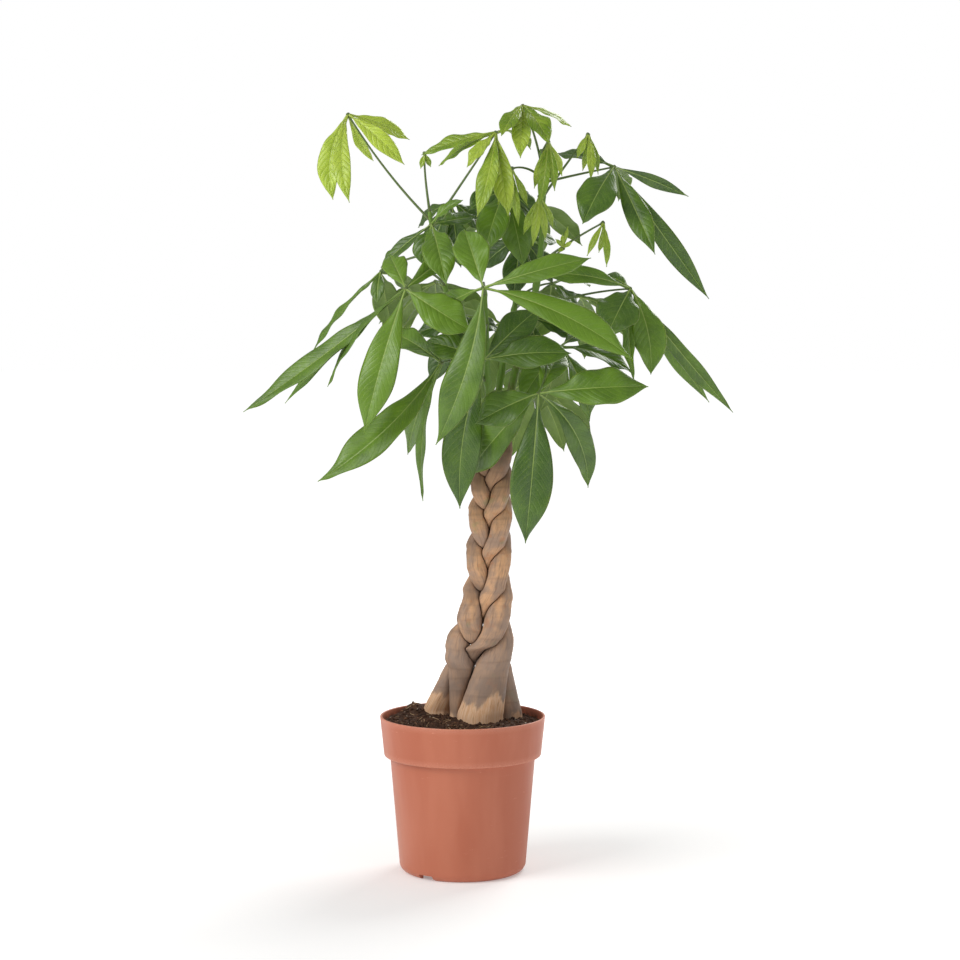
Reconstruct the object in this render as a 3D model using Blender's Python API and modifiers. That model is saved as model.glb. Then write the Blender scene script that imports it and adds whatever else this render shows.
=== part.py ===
"""Potted money tree: four plaited stems with green shoots and hand-shaped leaves, in a nursery pot.

Metres, +Z up. The origin is the centre of the pot's underside, on the surface that it stands on,
and -Y is the front. A stem is lofted through level sections, a shoot or a stalk is a bevelled
curve, and a leaf is one solid: its stalk, the knuckle at the stalk's end and its blades.
"""

import math
from dataclasses import dataclass
from functools import lru_cache

import bmesh
import bpy
import numpy as np

MM = 0.001
GAP = 0.0003  # clearance between pieces that touch

# Pot
POT_HEIGHT = 0.161
RIM_RADIUS = 0.085
WALL = 0.0022
LIP_ROUND = 0.0006
COLLAR_ROUND = 0.0026
COLLAR_HEIGHT = 0.041
COLLAR_FOOT_RADIUS = 0.081
BODY_TOP_RADIUS = 0.0745
BODY_FOOT_RADIUS = 0.0655
COLLAR_FOOT_Z = POT_HEIGHT - COLLAR_HEIGHT
STEP_LOW_Z = COLLAR_FOOT_Z + 0.0008
STEP_HIGH_Z = COLLAR_FOOT_Z + 0.0032
FOOT_RADIUS = 0.0585
FOOT_ROUND = 0.009
DISC_RADIUS = 0.044
DRAIN_INNER_RADIUS = 0.046
DRAIN_OUTER_RADIUS = 0.0565
DRAIN_MIDDLE_RADIUS = 0.5 * (DRAIN_INNER_RADIUS + DRAIN_OUTER_RADIUS)
DRAIN_DEPTH = 0.005
FLOOR_THICKNESS = 0.0025
INNER_FLOOR_Z = DRAIN_DEPTH + FLOOR_THICKNESS
INNER_CORNER_RISE = 0.005  # from the floor up to where the inner wall starts
INNER_INSET = 0.001  # how much further in than the wall alone the inside starts
NOTCH_COUNT = 3
NOTCH_LENGTH = 0.022
NOTCH_WIDTH = 0.017
NOTCH_HEIGHT = 0.0055
NOTCH_FIRST_ANGLE = math.radians(-126)
DRAIN_HOLE_COUNT = 6
DRAIN_HOLE_RADIUS = 0.004
DRAIN_HOLE_SIDES = 12
DRAIN_HOLE_REACH = 0.02
POT_SEGMENTS = 40

# Soil
SOIL_LEVEL = 0.1530
SOIL_HEAP = 0.0052
SOIL_HEAP_PLACE = (0.012, 0.020)
SOIL_HEAP_REACH = 0.040
SOIL_BANK = 0.0125
SOIL_BANK_PLACE = (-0.050, 0.044)
SOIL_BANK_REACH = 0.022
SOIL_LUMPS = 0.0006
SOIL_STEPS = 32
SOIL_RINGS = 7
SOIL_EDGE_BAND = 0.012  # next to the wall, where the heaps flatten
SOIL_EDGE_RISE = 0.35  # share of a heap that is left at the wall
SOCKET_SECTIONS = 9
SOCKET_TOP_Z = 0.184

# Stems
STEM_FOOT_Z = 0.103
STEM_RINGS = 34
STEM_SIDES = 10
STEM_GAP = 0.0014
SECTION_POWER = 9
PLAIT_AXIS_Z = (0.153, 0.243, 0.283, 0.453)
PLAIT_AXIS_X = (0.014, 0.018, 0.0255, 0.031)
PLAIT_AXIS_Y = (0.016, 0.0016, 0.0, 0.0)
PLAIT_WIDTH_Z = (0.203, 0.253, 0.303, 0.443)
PLAIT_HALF_WIDTHS = (0.0132, 0.0130, 0.0126, 0.0112)
PLAIT_DEPTH = 0.0075
RIGHT_SHARE = 0.625
PLAIT_LAG = 0.20
PLAIT_DEPTH_LAG = 1.25
STEM_RADII = (0.0150, 0.0137, 0.0111, 0.0095)
QUARTER_TURN_LOW = 0.062
QUARTER_TURN_SHRINK = 0.150
PLAIT_LOW_Z = 0.203
PLAIT_LOOSE_FROM_Z = 0.278
PLAIT_LOOSE_BELOW_Z = 0.243
PLAIT_LOOSENESS = 0.60
STEM_PRESS = 0.50
PRESS_ROUNDS = 12
PRESS_STEP = 0.4
LEAST_REACH = 0.002
FIRST_CROSSING_Z = 0.210
SPREAD_LOW_Z = 0.161
SPREAD_HIGH_Z = 0.241
SPREAD_POWER = 1.1
SWELLING_LIFT = 0.004


@dataclass(frozen=True)
class Stem:
    """A woody stem: its turn in the plait, its foot in the soil and where it was cut off."""

    name: str
    phase: float
    foot: tuple
    foot_radius: float
    top_z: float


STEMS = (
    Stem("stem_back_left", 0.0, (-0.026, 0.038), 0.016, 0.450),
    Stem("stem_front_left", -0.5 * math.pi, (0.000, 0.020), 0.0135, 0.451),
    Stem("stem_front_right", 0.5 * math.pi, (0.018, 0.002), 0.0238, 0.449),
    Stem("stem_back_right", math.pi, (0.046, 0.026), 0.0155, 0.450),
)


# Shoots
SHOOT_STEPS = 3
SHOOT_UPRIGHT = 0.006


@dataclass(frozen=True)
class Shoot:
    """A green shoot that stands on a stem's cut top: the points of its axis and its radii, in mm."""

    name: str
    stem: str
    route: tuple
    base_radius: float
    tip_radius: float


SHOOTS = (
    Shoot("shoot_main", "stem_front_left",
          ((47, -2, 483), (56, 6, 523), (70, 13, 573), (79, 14, 628), (82, 12, 683), (81, 8, 741)),
          4.6, 2.2),
    Shoot("shoot_left", "stem_front_right",
          ((13, -5, 481), (4, 0, 523), (-12, 4, 578), (-24, 2, 628), (-30, -3, 655), (-33, -6, 677)),
          4.4, 1.6),
    Shoot("shoot_front", "stem_back_right",
          ((27, -6, 483), (25, -20, 518), (24, -30, 563), (22, -34, 599)), 4.0, 2.4),
    Shoot("shoot_back", "stem_back_left",
          ((36, 14, 483), (42, 30, 523), (52, 46, 573), (66, 60, 633)), 4.2, 2.2),
)

# Leaves
STALK_STEPS = 7
STALK_FOOT_RADIUS = 0.0018
STALK_RADIUS = 0.0011
KNUCKLE_RADIUS = 0.0025
BLADE_SPANS = 5
BLADE_THICKNESS = 0.0012
BLADE_FOLD = math.radians(12)
BLADE_ROOT = 0.07
BLADE_PEAK = 1.12


@dataclass(frozen=True)
class Blade:
    """One leaflet: its tip from the knuckle and its width, in mm, then how it bows and turns."""

    tip: tuple
    width: float
    arch: float = 0.10
    sway: float = 0.0
    roll: float = 0.0


@dataclass(frozen=True)
class Leaf:
    """A leaf on a long stalk. It leaves the shoot at a height, in mm, and holds its blades out."""

    name: str
    shoot: str
    height: float
    bend: tuple
    hub: tuple
    facing: tuple
    blades: tuple


LEAVES = (
    Leaf("leaf_top_left", "shoot_left", 668, (-2, 0, -4), (-117, 20, 777), (-0.2, -0.8, 0.5), (
        Blade((-14, -25, -88), 26, 0.04, 0.10), Blade((4, -50, -92), 19, 0.04, 0.06),
        Blade((25, 20, -46), 13, 0.08, 0, 40), Blade((58, -15, -52), 20, 0.10),
        Blade((62, 25, -24), 18, 0.08))),
    Leaf("leaf_top_middle", "shoot_left", 661, (0, 0, 0), (34, -30, 755), (-0.3, -0.6, 0.7), (
        Blade((-75, 10, -22), 22, 0.05), Blade((-58, 40, -31), 18, 0.06),
        Blade((-29, -20, -36), 18, 0.05), Blade((-19, -45, -86), 24, 0.03, -0.04),
        Blade((12, -30, -83), 24, 0.03), Blade((36, 60, -13), 22, 0.12))),
    Leaf("leaf_bud_left", "shoot_left", 674, (-2, 0, 6), (-38, -8, 736), (0, -0.9, 0.3), (
        Blade((-4, -4, -16), 6, 0.02), Blade((6, 3, -14), 6, 0.02))),
    Leaf("leaf_crest", "shoot_main", 719, (2, 5, 3), (61, 0, 784), (0, -0.4, 0.9), (
        Blade((-22, -48, -34), 20, 0.06), Blade((-3, -50, -56), 20, 0.06),
        Blade((26, -32, -40), 26, 0.08), Blade((50, 15, -20), 22, 0.06),
        Blade((-8, 55, -22), 18, 0.12))),
    Leaf("leaf_young_middle", "shoot_main", 736, (0, -2, 2), (87, -10, 747), (0.1, -0.8, 0.5), (
        Blade((6, -12, -50), 10), Blade((14, 8, -34), 9), Blade((-9, -16, -66), 12),
        Blade((-14, 14, -46), 10))),
    Leaf("leaf_young_side", "shoot_main", 711, (0, 0, 5), (50, -12, 720), (-0.1, -0.8, 0.5), (
        Blade((-4, -4, -48), 12), Blade((7, -2, -58), 9), Blade((-14, 8, -36), 9),
        Blade((16, 14, -36), 8))),
    Leaf("leaf_young_low", "shoot_main", 672, (0, 0, 3), (78, -16, 692), (0.1, -0.8, 0.5), (
        Blade((-7, -6, -50), 9), Blade((6, 2, -44), 8), Blade((-16, 8, -38), 9),
        Blade((14, 16, -32), 7))),
    Leaf("leaf_young_right", "shoot_main", 693, (0, -6, 0), (128, 10, 756), (0.2, -0.6, 0.7), (
        Blade((-12, -12, -25), 8), Blade((2, -15, -47), 10), Blade((10, -4, -41), 8),
        Blade((-5, 14, -36), 8))),
    Leaf("leaf_upper_right", "shoot_main", 707, (0, 10, 1), (155, 10, 723), (0.1, -0.6, 0.75), (
        Blade((-35, -60, -60), 40, 0.08), Blade((38, -50, -90), 26, 0.04, 0, 20),
        Blade((98, 10, -134), 22, 0.03, 0, 50), Blade((79, 40, -28), 14, -0.06, 0, 78),
        Blade((-61, 60, 17), 24, 0.05), Blade((10, 100, -30), 26))),
    Leaf("leaf_bud_right", "shoot_main", 625, (0, 0, 2), (143, -5, 666), (0.2, -0.6, 0.7), (
        Blade((-17, -12, -34), 7), Blade((3, -8, -45), 8), Blade((-4, 12, -30), 7))),
    Leaf("leaf_bud_small", "shoot_main", 609, (0, 0, 2), (102, -14, 640), (0.1, -0.9, 0.4), (
        Blade((-8, -4, 9), 5), Blade((-1, 0, 14), 5), Blade((5, 4, 22), 4),
        Blade((9, -4, 6), 5), Blade((-5, -8, -4), 5))),
    Leaf("leaf_lower_right", "shoot_main", 578, (0, -5, 4), (170, -20, 599), (0.1, -0.75, 0.6), (
        Blade((-99, -10, 14), 26, 0.10), Blade((-30, 40, 11), 22, 0.12),
        Blade((-26, -40, -47), 46, 0.08), Blade((2, -30, -92), 20, 0.04, 0, 65),
        Blade((19, -25, -86), 36, 0.06, -0.06), Blade((107, 25, -126), 19, 0.03, 0, 60),
        Blade((86, 60, -117), 18, 0.03, 0, 60))),
    Leaf("leaf_front", "shoot_front", 593, (0, -10, 8), (21, -115, 599), (-0.05, -0.85, 0.5), (
        Blade((-19, 45, 58), 37, 0.06), Blade((105, 10, 29), 28, 0.10, 0.04),
        Blade((145, -20, -70), 35, 0.04, -0.05), Blade((-46, -10, -152), 38, 0.06, -0.06),
        Blade((-60, 80, -36), 30, 0.06))),
    Leaf("leaf_front_left", "shoot_left", 603, (0, -10, 14), (-55, -90, 598), (-0.1, -0.85, 0.5), (
        Blade((66, -15, -42), 42, 0.08, 0.04), Blade((46, 60, 35), 22, 0.04),
        Blade((-18, 60, 35), 26, 0.06), Blade((-40, -30, -141), 38, 0.06),
        Blade((-77, 0, -96), 24, 0.08, 0, 50), Blade((-161, 10, -121), 30, -0.02, 0, 20),
        Blade((-123, 50, -114), 26, 0.03, 0, 30))),
    Leaf("leaf_left", "shoot_left", 635, (0, 0, 4), (-84, 30, 617), (-0.2, -0.3, 0.9), (
        Blade((-73, 10, -85), 24, 0.04), Blade((-3, -20, -33), 16), Blade((23, 10, 28), 18),
        Blade((10, 70, -66), 30), Blade((40, 62, -35), 28))),
    Leaf("leaf_upper_left", "shoot_left", 647, (0, 0, 2), (-31, -25, 663), (-0.1, -0.6, 0.75), (
        Blade((32, -15, 24), 18), Blade((49, 34, 10), 26, 0.02), Blade((-6, -12, -43), 30),
        Blade((-51, 0, -43), 18, 0.04), Blade((16, -70, -61), 34))),
    Leaf("leaf_low_left", "shoot_front", 503, (0, 0, 10), (-21, -60, 525), (-0.2, -0.8, 0.55), (
        Blade((-120, -45, -115), 40, 0.04, -0.09), Blade((-18, 0, -138), 20, 0.04, 0.06, 45),
        Blade((-7, 20, 18), 14), Blade((-35, 60, -95), 30, 0.06), Blade((-54, 75, 29), 28))),
    Leaf("leaf_low_right", "shoot_main", 551, (14, -14, 10), (75, -105, 496), (0.1, -0.85, 0.5), (
        Blade((107, -5, 7), 43, 0.08, 0.02), Blade((-13, -20, -145), 43, 0.06),
        Blade((-62, -10, -29), 40, 0.08), Blade((51, 50, -96), 31, 0.06, -0.10),
        Blade((-70, 55, -84), 40, 0.08), Blade((24, 60, 40), 30, 0.08))),
    Leaf("leaf_centre", "shoot_front", 563, (0, 0, 6), (22, -70, 528), (0, -0.85, 0.5), (
        Blade((86, -10, 7), 38, 0.08), Blade((56, 20, 52), 34, 0.06),
        Blade((-24, -10, -147), 40, 0.06, 0.05), Blade((-59, 20, 18), 34, 0.08),
        Blade((-45, 50, 50), 30, 0.08))),
    Leaf("leaf_high_centre", "shoot_main", 658, (0, 4, 4), (44, 30, 700), (0, -0.8, 0.6), (
        Blade((-22, -55, -66), 34), Blade((18, -22, -78), 34), Blade((-38, -15, -21), 28),
        Blade((31, 10, -25), 28), Blade((11, 60, -34), 30))),
    Leaf("leaf_right_centre", "shoot_back", 588, (0, 0, 4), (92, 20, 605), (0.2, -0.5, 0.85), (
        Blade((27, 4, -31), 26), Blade((-6, 40, -34), 24), Blade((41, 50, -3), 26),
        Blade((22, 75, -50), 30), Blade((-14, 70, -44), 28))),
    Leaf("leaf_right_low", "shoot_back", 533, (0, 0, 6), (100, 10, 540), (0.3, -0.5, 0.8), (
        Blade((74, -25, -28), 30), Blade((30, -10, -76), 34), Blade((-41, -20, -56), 34),
        Blade((45, 80, 15), 30), Blade((-19, 70, -70), 30))),
    Leaf("leaf_inner_left", "shoot_left", 620, (0, 0, 4), (-11, 48, 688), (-0.2, -0.7, 0.6), (
        Blade((-24, 12, -56), 30, 0.06), Blade((9, 14, -66), 30, 0.06), Blade((-36, 38, -24), 22),
        Blade((30, 22, -26), 24))),
    Leaf("leaf_inner_middle", "shoot_main", 603, (0, 0, 4), (60, 56, 654), (0.1, -0.7, 0.6), (
        Blade((-42, 10, -33), 30, 0.06), Blade((-8, -18, -64), 30, 0.06), Blade((34, 14, -48), 30, 0.06),
        Blade((38, 28, -6), 24), Blade((-29, 30, 8), 24))),
    Leaf("leaf_inner_low", "shoot_left", 549, (0, 0, 4), (-1, 52, 565), (-0.1, -0.7, 0.6), (
        Blade((-50, 8, -13), 28, 0.06), Blade((-33, 4, -65), 28, 0.06), Blade((23, 10, -54), 28, 0.06),
        Blade((40, 24, -9), 24))),
    Leaf("leaf_inner_right", "shoot_main", 558, (0, 0, 4), (71, 49, 569), (0.1, -0.7, 0.6), (
        Blade((-16, -12, -55), 25, 0.06), Blade((8, -8, -57), 22, 0.06), Blade((46, 8, -20), 24))),
    Leaf("leaf_back_high", "shoot_back", 623, (0, 10, 14), (60, 130, 693), (0.1, 0.5, 0.85), (
        Blade((-70, 20, -40), 32), Blade((-40, 90, -50), 36), Blade((25, 100, -60), 38),
        Blade((70, 60, -45), 34), Blade((40, -20, -30), 26))),
    Leaf("leaf_back_left", "shoot_left", 563, (0, 20, 14), (-30, 125, 608), (-0.3, 0.6, 0.75), (
        Blade((-60, 50, -70), 34), Blade((-40, 100, -60), 36), Blade((10, 110, -60), 38),
        Blade((60, 60, -50), 32), Blade((-60, -10, -45), 28))),
    Leaf("leaf_back_right", "shoot_back", 578, (0, 20, 12), (125, 130, 593), (0.4, 0.6, 0.75), (
        Blade((90, -10, -60), 32), Blade((80, 70, -70), 36), Blade((10, 110, -70), 38),
        Blade((-60, 60, -50), 32), Blade((50, -60, -40), 28))),
    Leaf("leaf_back_middle", "shoot_back", 548, (0, 20, 10), (40, 150, 563), (0, 0.7, 0.7), (
        Blade((-80, 30, -60), 34), Blade((-30, 60, -110), 36), Blade((30, 60, -110), 36),
        Blade((80, 30, -70), 34), Blade((-50, -10, 20), 26))),
    Leaf("leaf_back_low", "shoot_back", 508, (0, 10, 10), (70, 100, 503), (0.2, 0.6, 0.75), (
        Blade((70, 10, -70), 32), Blade((40, 70, -80), 36), Blade((-20, 80, -90), 36),
        Blade((-70, 30, -60), 30))),
)


def section_blend(z):
    """How far the stems have left the plait at a height: 0 in the plait, 1 at their feet."""
    share = min(max((SPREAD_HIGH_Z - z) / (SPREAD_HIGH_Z - SPREAD_LOW_Z), 0.0), 1.0)
    return share ** SPREAD_POWER


def plait_turn(z):
    """Angle that the plait has turned through since its first crossing. Turns shorten upwards."""
    here = QUARTER_TURN_LOW - QUARTER_TURN_SHRINK * (max(z, FIRST_CROSSING_Z) - PLAIT_LOW_Z)
    first = QUARTER_TURN_LOW - QUARTER_TURN_SHRINK * (FIRST_CROSSING_Z - PLAIT_LOW_Z)
    return 0.5 * math.pi / QUARTER_TURN_SHRINK * math.log(first / here)


def plait_place(stem, z):
    """Where the plait takes a stem at a height, before the stems press each other apart.

    A stem comes to the front at the crossing, goes out over its neighbours to one side and comes
    back behind them. It spends more of its turn on the right than on the left.
    """
    turns = (plait_turn(z) + stem.phase) / (2 * math.pi) % 1.0
    is_right = turns < RIGHT_SHARE
    share = RIGHT_SHARE if is_right else 1 - RIGHT_SHARE
    along = (turns if is_right else turns - RIGHT_SHARE) / share
    swing = math.pi * (along - PLAIT_LAG * along * (1 - along))
    loose = 1 + PLAIT_LOOSENESS * np.interp(z, (PLAIT_LOOSE_BELOW_Z, PLAIT_LOOSE_FROM_Z), (1, 0))
    half_width = np.interp(z, PLAIT_WIDTH_Z, PLAIT_HALF_WIDTHS) * loose
    out = 2 * share * math.sin(swing) * (1 if is_right else -1)
    in_plait = np.array((
        np.interp(z, PLAIT_AXIS_Z, PLAIT_AXIS_X) + half_width * (1 - 2 * RIGHT_SHARE + out),
        np.interp(z, PLAIT_AXIS_Z, PLAIT_AXIS_Y)
        - PLAIT_DEPTH * 2 * share * math.sin(2 * math.pi * along ** PLAIT_DEPTH_LAG)))
    spread = section_blend(z)
    return (1 - spread) * in_plait + spread * np.array(stem.foot)


def stem_radius(stem, z):
    """Radius of a stem at a height, swollen at its foot."""
    swelling = section_blend(z - SWELLING_LIFT)
    return (1 - swelling) * np.interp(z, PLAIT_WIDTH_Z, STEM_RADII) + swelling * stem.foot_radius


@lru_cache(maxsize=None)
def stem_centres(z):
    """Centres of all the stems at a height, pressed apart where they crowd each other."""
    centres = np.array([plait_place(stem, z) for stem in STEMS])
    radii = [stem_radius(stem, z) for stem in STEMS]
    for _ in range(PRESS_ROUNDS):
        for i in range(len(STEMS)):
            for j in range(i):
                apart = centres[i] - centres[j]
                distance = np.linalg.norm(apart)
                short = max(STEM_PRESS * (radii[i] + radii[j]) - distance, 0.0)
                centres[i] += PRESS_STEP * short * apart / distance
                centres[j] -= PRESS_STEP * short * apart / distance
    return centres


def stem_centre(stem, z):
    """Centre of a stem at a height, as (x, y)."""
    return stem_centres(float(z))[STEMS.index(stem)]


def stem_heights(stem):
    """Heights of a stem's sections: close together in the plait, where the stems turn fast."""
    return np.append(STEM_FOOT_Z, np.linspace(SPREAD_LOW_Z, stem.top_z, STEM_RINGS))


def stem_section(stem, z, sides, grow=0.0):
    """Level section of a stem: a disc pressed flat where it meets its neighbours."""
    centre = stem_centre(stem, z)
    radius = stem_radius(stem, z)
    angles = np.arange(sides) * 2 * math.pi / sides
    rays = np.stack((np.cos(angles), np.sin(angles)), axis=1)
    crowding = radius ** -SECTION_POWER * np.ones(sides)
    for other in STEMS:
        if other is stem:
            continue
        apart = stem_centre(other, z) - centre
        distance = np.linalg.norm(apart)
        reach = (distance ** 2 + radius ** 2 - stem_radius(other, z) ** 2) / (2 * distance)
        facing = np.maximum(rays @ (apart / distance), 1e-3)
        crowding += ((max(reach, LEAST_REACH) - STEM_GAP / 2) / facing) ** -SECTION_POWER
    reach = crowding ** (-1 / SECTION_POWER) + grow
    return np.column_stack((centre + rays * reach[:, None], np.full(sides, z)))


def smooth_line(points, steps):
    """Points along a Catmull-Rom curve through the given ones, with some steps in each stretch."""
    points = np.asarray(points, float)
    padded = np.vstack((2 * points[0] - points[1], points, 2 * points[-1] - points[-2]))
    line = []
    for before, start, end, after in zip(padded, padded[1:], padded[2:], padded[3:]):
        for t in np.arange(steps) / steps:
            line.append(0.5 * (2 * start + (end - before) * t
                               + (2 * before - 5 * start + 4 * end - after) * t ** 2
                               + (3 * start - before - 3 * end + after) * t ** 3))
    return np.array(line + [points[-1]])


def shoot_line(shoot, steps):
    """Points along a shoot's axis in metres. It starts upright, so that its foot is level."""
    stem = next(stem for stem in STEMS if stem.name == shoot.stem)
    foot = np.append(stem_centre(stem, stem.top_z), stem.top_z + GAP)
    upright = foot + (0, 0, SHOOT_UPRIGHT)
    line = smooth_line(np.vstack((upright, np.array(shoot.route) * MM)), steps)
    return np.vstack((foot, line))


def arc(start, middle, end, steps):
    """Points of a quadratic curve from one point to another, pulled towards a middle one."""
    t = np.linspace(0, 1, steps + 1)[:, None]
    return (1 - t) ** 2 * start + 2 * t * (1 - t) * middle + t ** 2 * end


def unit(vector):
    """The vector at length 1."""
    return vector / np.linalg.norm(vector)


def square_to(vector, axis):
    """The unit part of a vector that is square to a unit axis."""
    return unit(vector - (vector @ axis) * axis)


def blade_frames(leaf, blade, spans):
    """Centre line of a blade with its upward normals, side vectors and half widths."""
    hub = np.array(leaf.hub) * MM
    chord = np.array(blade.tip) * MM
    length = np.linalg.norm(chord)
    ahead = chord / length
    normal = square_to(np.array(leaf.facing), ahead)
    roll = math.radians(blade.roll)
    normal = normal * math.cos(roll) + np.cross(ahead, normal) * math.sin(roll)
    side = np.cross(ahead, normal)
    middle = hub + 0.5 * chord + 2 * length * (blade.arch * normal + blade.sway * side)
    line = arc(hub, middle, hub + chord, spans)
    tangents = np.gradient(line, axis=0)
    tangents /= np.linalg.norm(tangents, axis=1)[:, None]
    normals = [square_to(normal, tangents[0])]
    for tangent in tangents[1:]:
        normals.append(square_to(normals[-1], tangent))
    normals = np.array(normals)
    sides = np.cross(tangents, normals)
    share = np.linspace(0, 1, spans + 1)
    along = np.clip((share - BLADE_ROOT) / (1 - BLADE_ROOT), 0, 1)
    outline = np.sin(math.pi * along ** BLADE_PEAK) ** (0.75 + 0.5 * share)
    half_widths = 0.5 * blade.width * MM * np.maximum(outline, 0.0)
    return line, normals, sides, half_widths


def stalk_route(leaf):
    """Points of a leaf's stalk, from its shoot's axis to the knuckle."""
    shoot = next(shoot for shoot in SHOOTS if shoot.name == leaf.shoot)
    axis = shoot_line(shoot, 8)
    height = leaf.height * MM
    root = np.array([np.interp(height, axis[:, 2], axis[:, i]) for i in range(3)])
    hub = np.array(leaf.hub) * MM
    middle = 0.5 * (root + hub) + 2 * np.array(leaf.bend) * MM
    return arc(root, middle, hub, STALK_STEPS)


def clear_scene():
    """Removes what the startup scene holds."""
    for obj in list(bpy.data.objects):
        bpy.data.objects.remove(obj, do_unlink=True)


def new_collection(name):
    """A collection linked to the scene."""
    collection = bpy.data.collections.new(name)
    bpy.context.scene.collection.children.link(collection)
    return collection


def new_material(name, colour, roughness):
    """A plain Principled material."""
    material = bpy.data.materials.new(name)
    material.use_nodes = True
    shader = material.node_tree.nodes["Principled BSDF"]
    shader.inputs["Base Color"].default_value = (*colour, 1)
    shader.inputs["Roughness"].default_value = roughness
    shader.inputs["Metallic"].default_value = 0
    return material


def object_from(bm, name, collection, material=None):
    """An object from a bmesh, its faces pointing out."""
    bmesh.ops.recalc_face_normals(bm, faces=bm.faces)
    mesh = bpy.data.meshes.new(name)
    bm.to_mesh(mesh)
    bm.free()
    obj = bpy.data.objects.new(name, mesh)
    collection.objects.link(obj)
    if material:
        mesh.materials.append(material)
    return obj


def evaluated_copy(obj, name, collection, material=None):
    """Replaces an object by its evaluated mesh, welded, so that it can be cut or joined."""
    graph = bpy.context.evaluated_depsgraph_get()
    mesh = bpy.data.meshes.new_from_object(obj.evaluated_get(graph))
    bm = bmesh.new()
    bm.from_mesh(mesh)
    bmesh.ops.remove_doubles(bm, verts=bm.verts, dist=1e-6)
    bpy.data.objects.remove(obj, do_unlink=True)
    bpy.data.meshes.remove(mesh)
    return object_from(bm, name, collection, material)


def as_cutter(obj):
    """Hides an object that only cuts or joins another one."""
    obj.hide_render = True
    obj.display_type = "WIRE"
    return obj


def add_boolean(obj, other, operation, self_too=False):
    """Adds an exact Boolean of another object."""
    modifier = obj.modifiers.new(other.name, "BOOLEAN")
    modifier.operation = operation
    modifier.object = other
    modifier.use_self = self_too


def turned(name, profile, segments, collection, material=None):
    """A solid of revolution from a closed or axis-to-axis (radius, z) profile, top to bottom."""
    bm = bmesh.new()
    points = [bm.verts.new((radius, 0, z)) for radius, z in profile]
    for first, second in zip(points, points[1:]):
        bm.edges.new((first, second))
    mesh = bpy.data.meshes.new(name)
    bm.to_mesh(mesh)
    bm.free()
    obj = bpy.data.objects.new(name, mesh)
    collection.objects.link(obj)
    screw = obj.modifiers.new("Turn", "SCREW")
    screw.steps = segments
    screw.render_steps = segments
    screw.use_merge_vertices = True
    screw.merge_threshold = 1e-5
    return evaluated_copy(obj, name, collection, material)


def rounded(centre, radius, start, end, steps):
    """Points of a rounded corner in a profile, between two angles in degrees."""
    angles = np.radians(np.linspace(start, end, steps + 1))
    return [(centre[0] + radius * math.cos(a), centre[1] + radius * math.sin(a)) for a in angles]


def tube(name, points, radii, sides_resolution, collection, material=None):
    """A solid tube through points, with a radius at each."""
    curve = bpy.data.curves.new(name, "CURVE")
    curve.dimensions = "3D"
    curve.bevel_depth = 1.0
    curve.bevel_resolution = sides_resolution
    curve.use_fill_caps = True
    spline = curve.splines.new("POLY")
    spline.points.add(len(points) - 1)
    for point, place, radius in zip(spline.points, points, radii):
        point.co = (*place, 1)
        point.radius = radius
    obj = bpy.data.objects.new(name, curve)
    collection.objects.link(obj)
    return evaluated_copy(obj, name, collection, material)


def loft(name, rings, collection, material=None):
    """A closed solid through rings of points, capped at both ends."""
    bm = bmesh.new()
    loops = [[bm.verts.new(point) for point in ring] for ring in rings]
    count = len(loops[0])
    for lower, upper in zip(loops, loops[1:]):
        for i in range(count):
            j = (i + 1) % count
            bm.faces.new((lower[i], lower[j], upper[j]))
            bm.faces.new((lower[i], upper[j], upper[i]))
    bm.faces.new(reversed(loops[0]))
    bm.faces.new(loops[-1])
    return object_from(bm, name, collection, material)


def blade_mesh(leaf, blade):
    """The mesh of a blade: a four-sided bar, divided along, with its corners moved into place."""
    line, normals, sides, half_widths = blade_frames(leaf, blade, BLADE_SPANS)
    bm = bmesh.new()
    bmesh.ops.create_cone(bm, cap_ends=True, segments=4, radius1=1, radius2=1, depth=1)
    uprights = [edge for edge in bm.edges if abs(edge.verts[0].co.z - edge.verts[1].co.z) > 0.5]
    bmesh.ops.subdivide_edges(bm, edges=uprights, cuts=BLADE_SPANS - 1)
    for vert in bm.verts:
        step = round((vert.co.z + 0.5) * BLADE_SPANS)
        angle = round(math.degrees(math.atan2(vert.co.y, vert.co.x)))
        if angle % 180 == 0:
            width = max(half_widths[step], KNUCKLE_RADIUS * 0.45 if step < 2 else 0.0003)
            across = 1 if angle == 0 else -1
            offset = sides[step] * across * width * math.cos(BLADE_FOLD)
            offset = offset + normals[step] * width * math.sin(BLADE_FOLD)
        else:
            thickness = BLADE_THICKNESS * (0.5 if step == BLADE_SPANS else 1)
            offset = normals[step] * math.copysign(thickness / 2, angle)
        vert.co = line[step] + offset
    mesh = bpy.data.meshes.new("blade")
    bm.to_mesh(mesh)
    bm.free()
    return mesh


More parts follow.
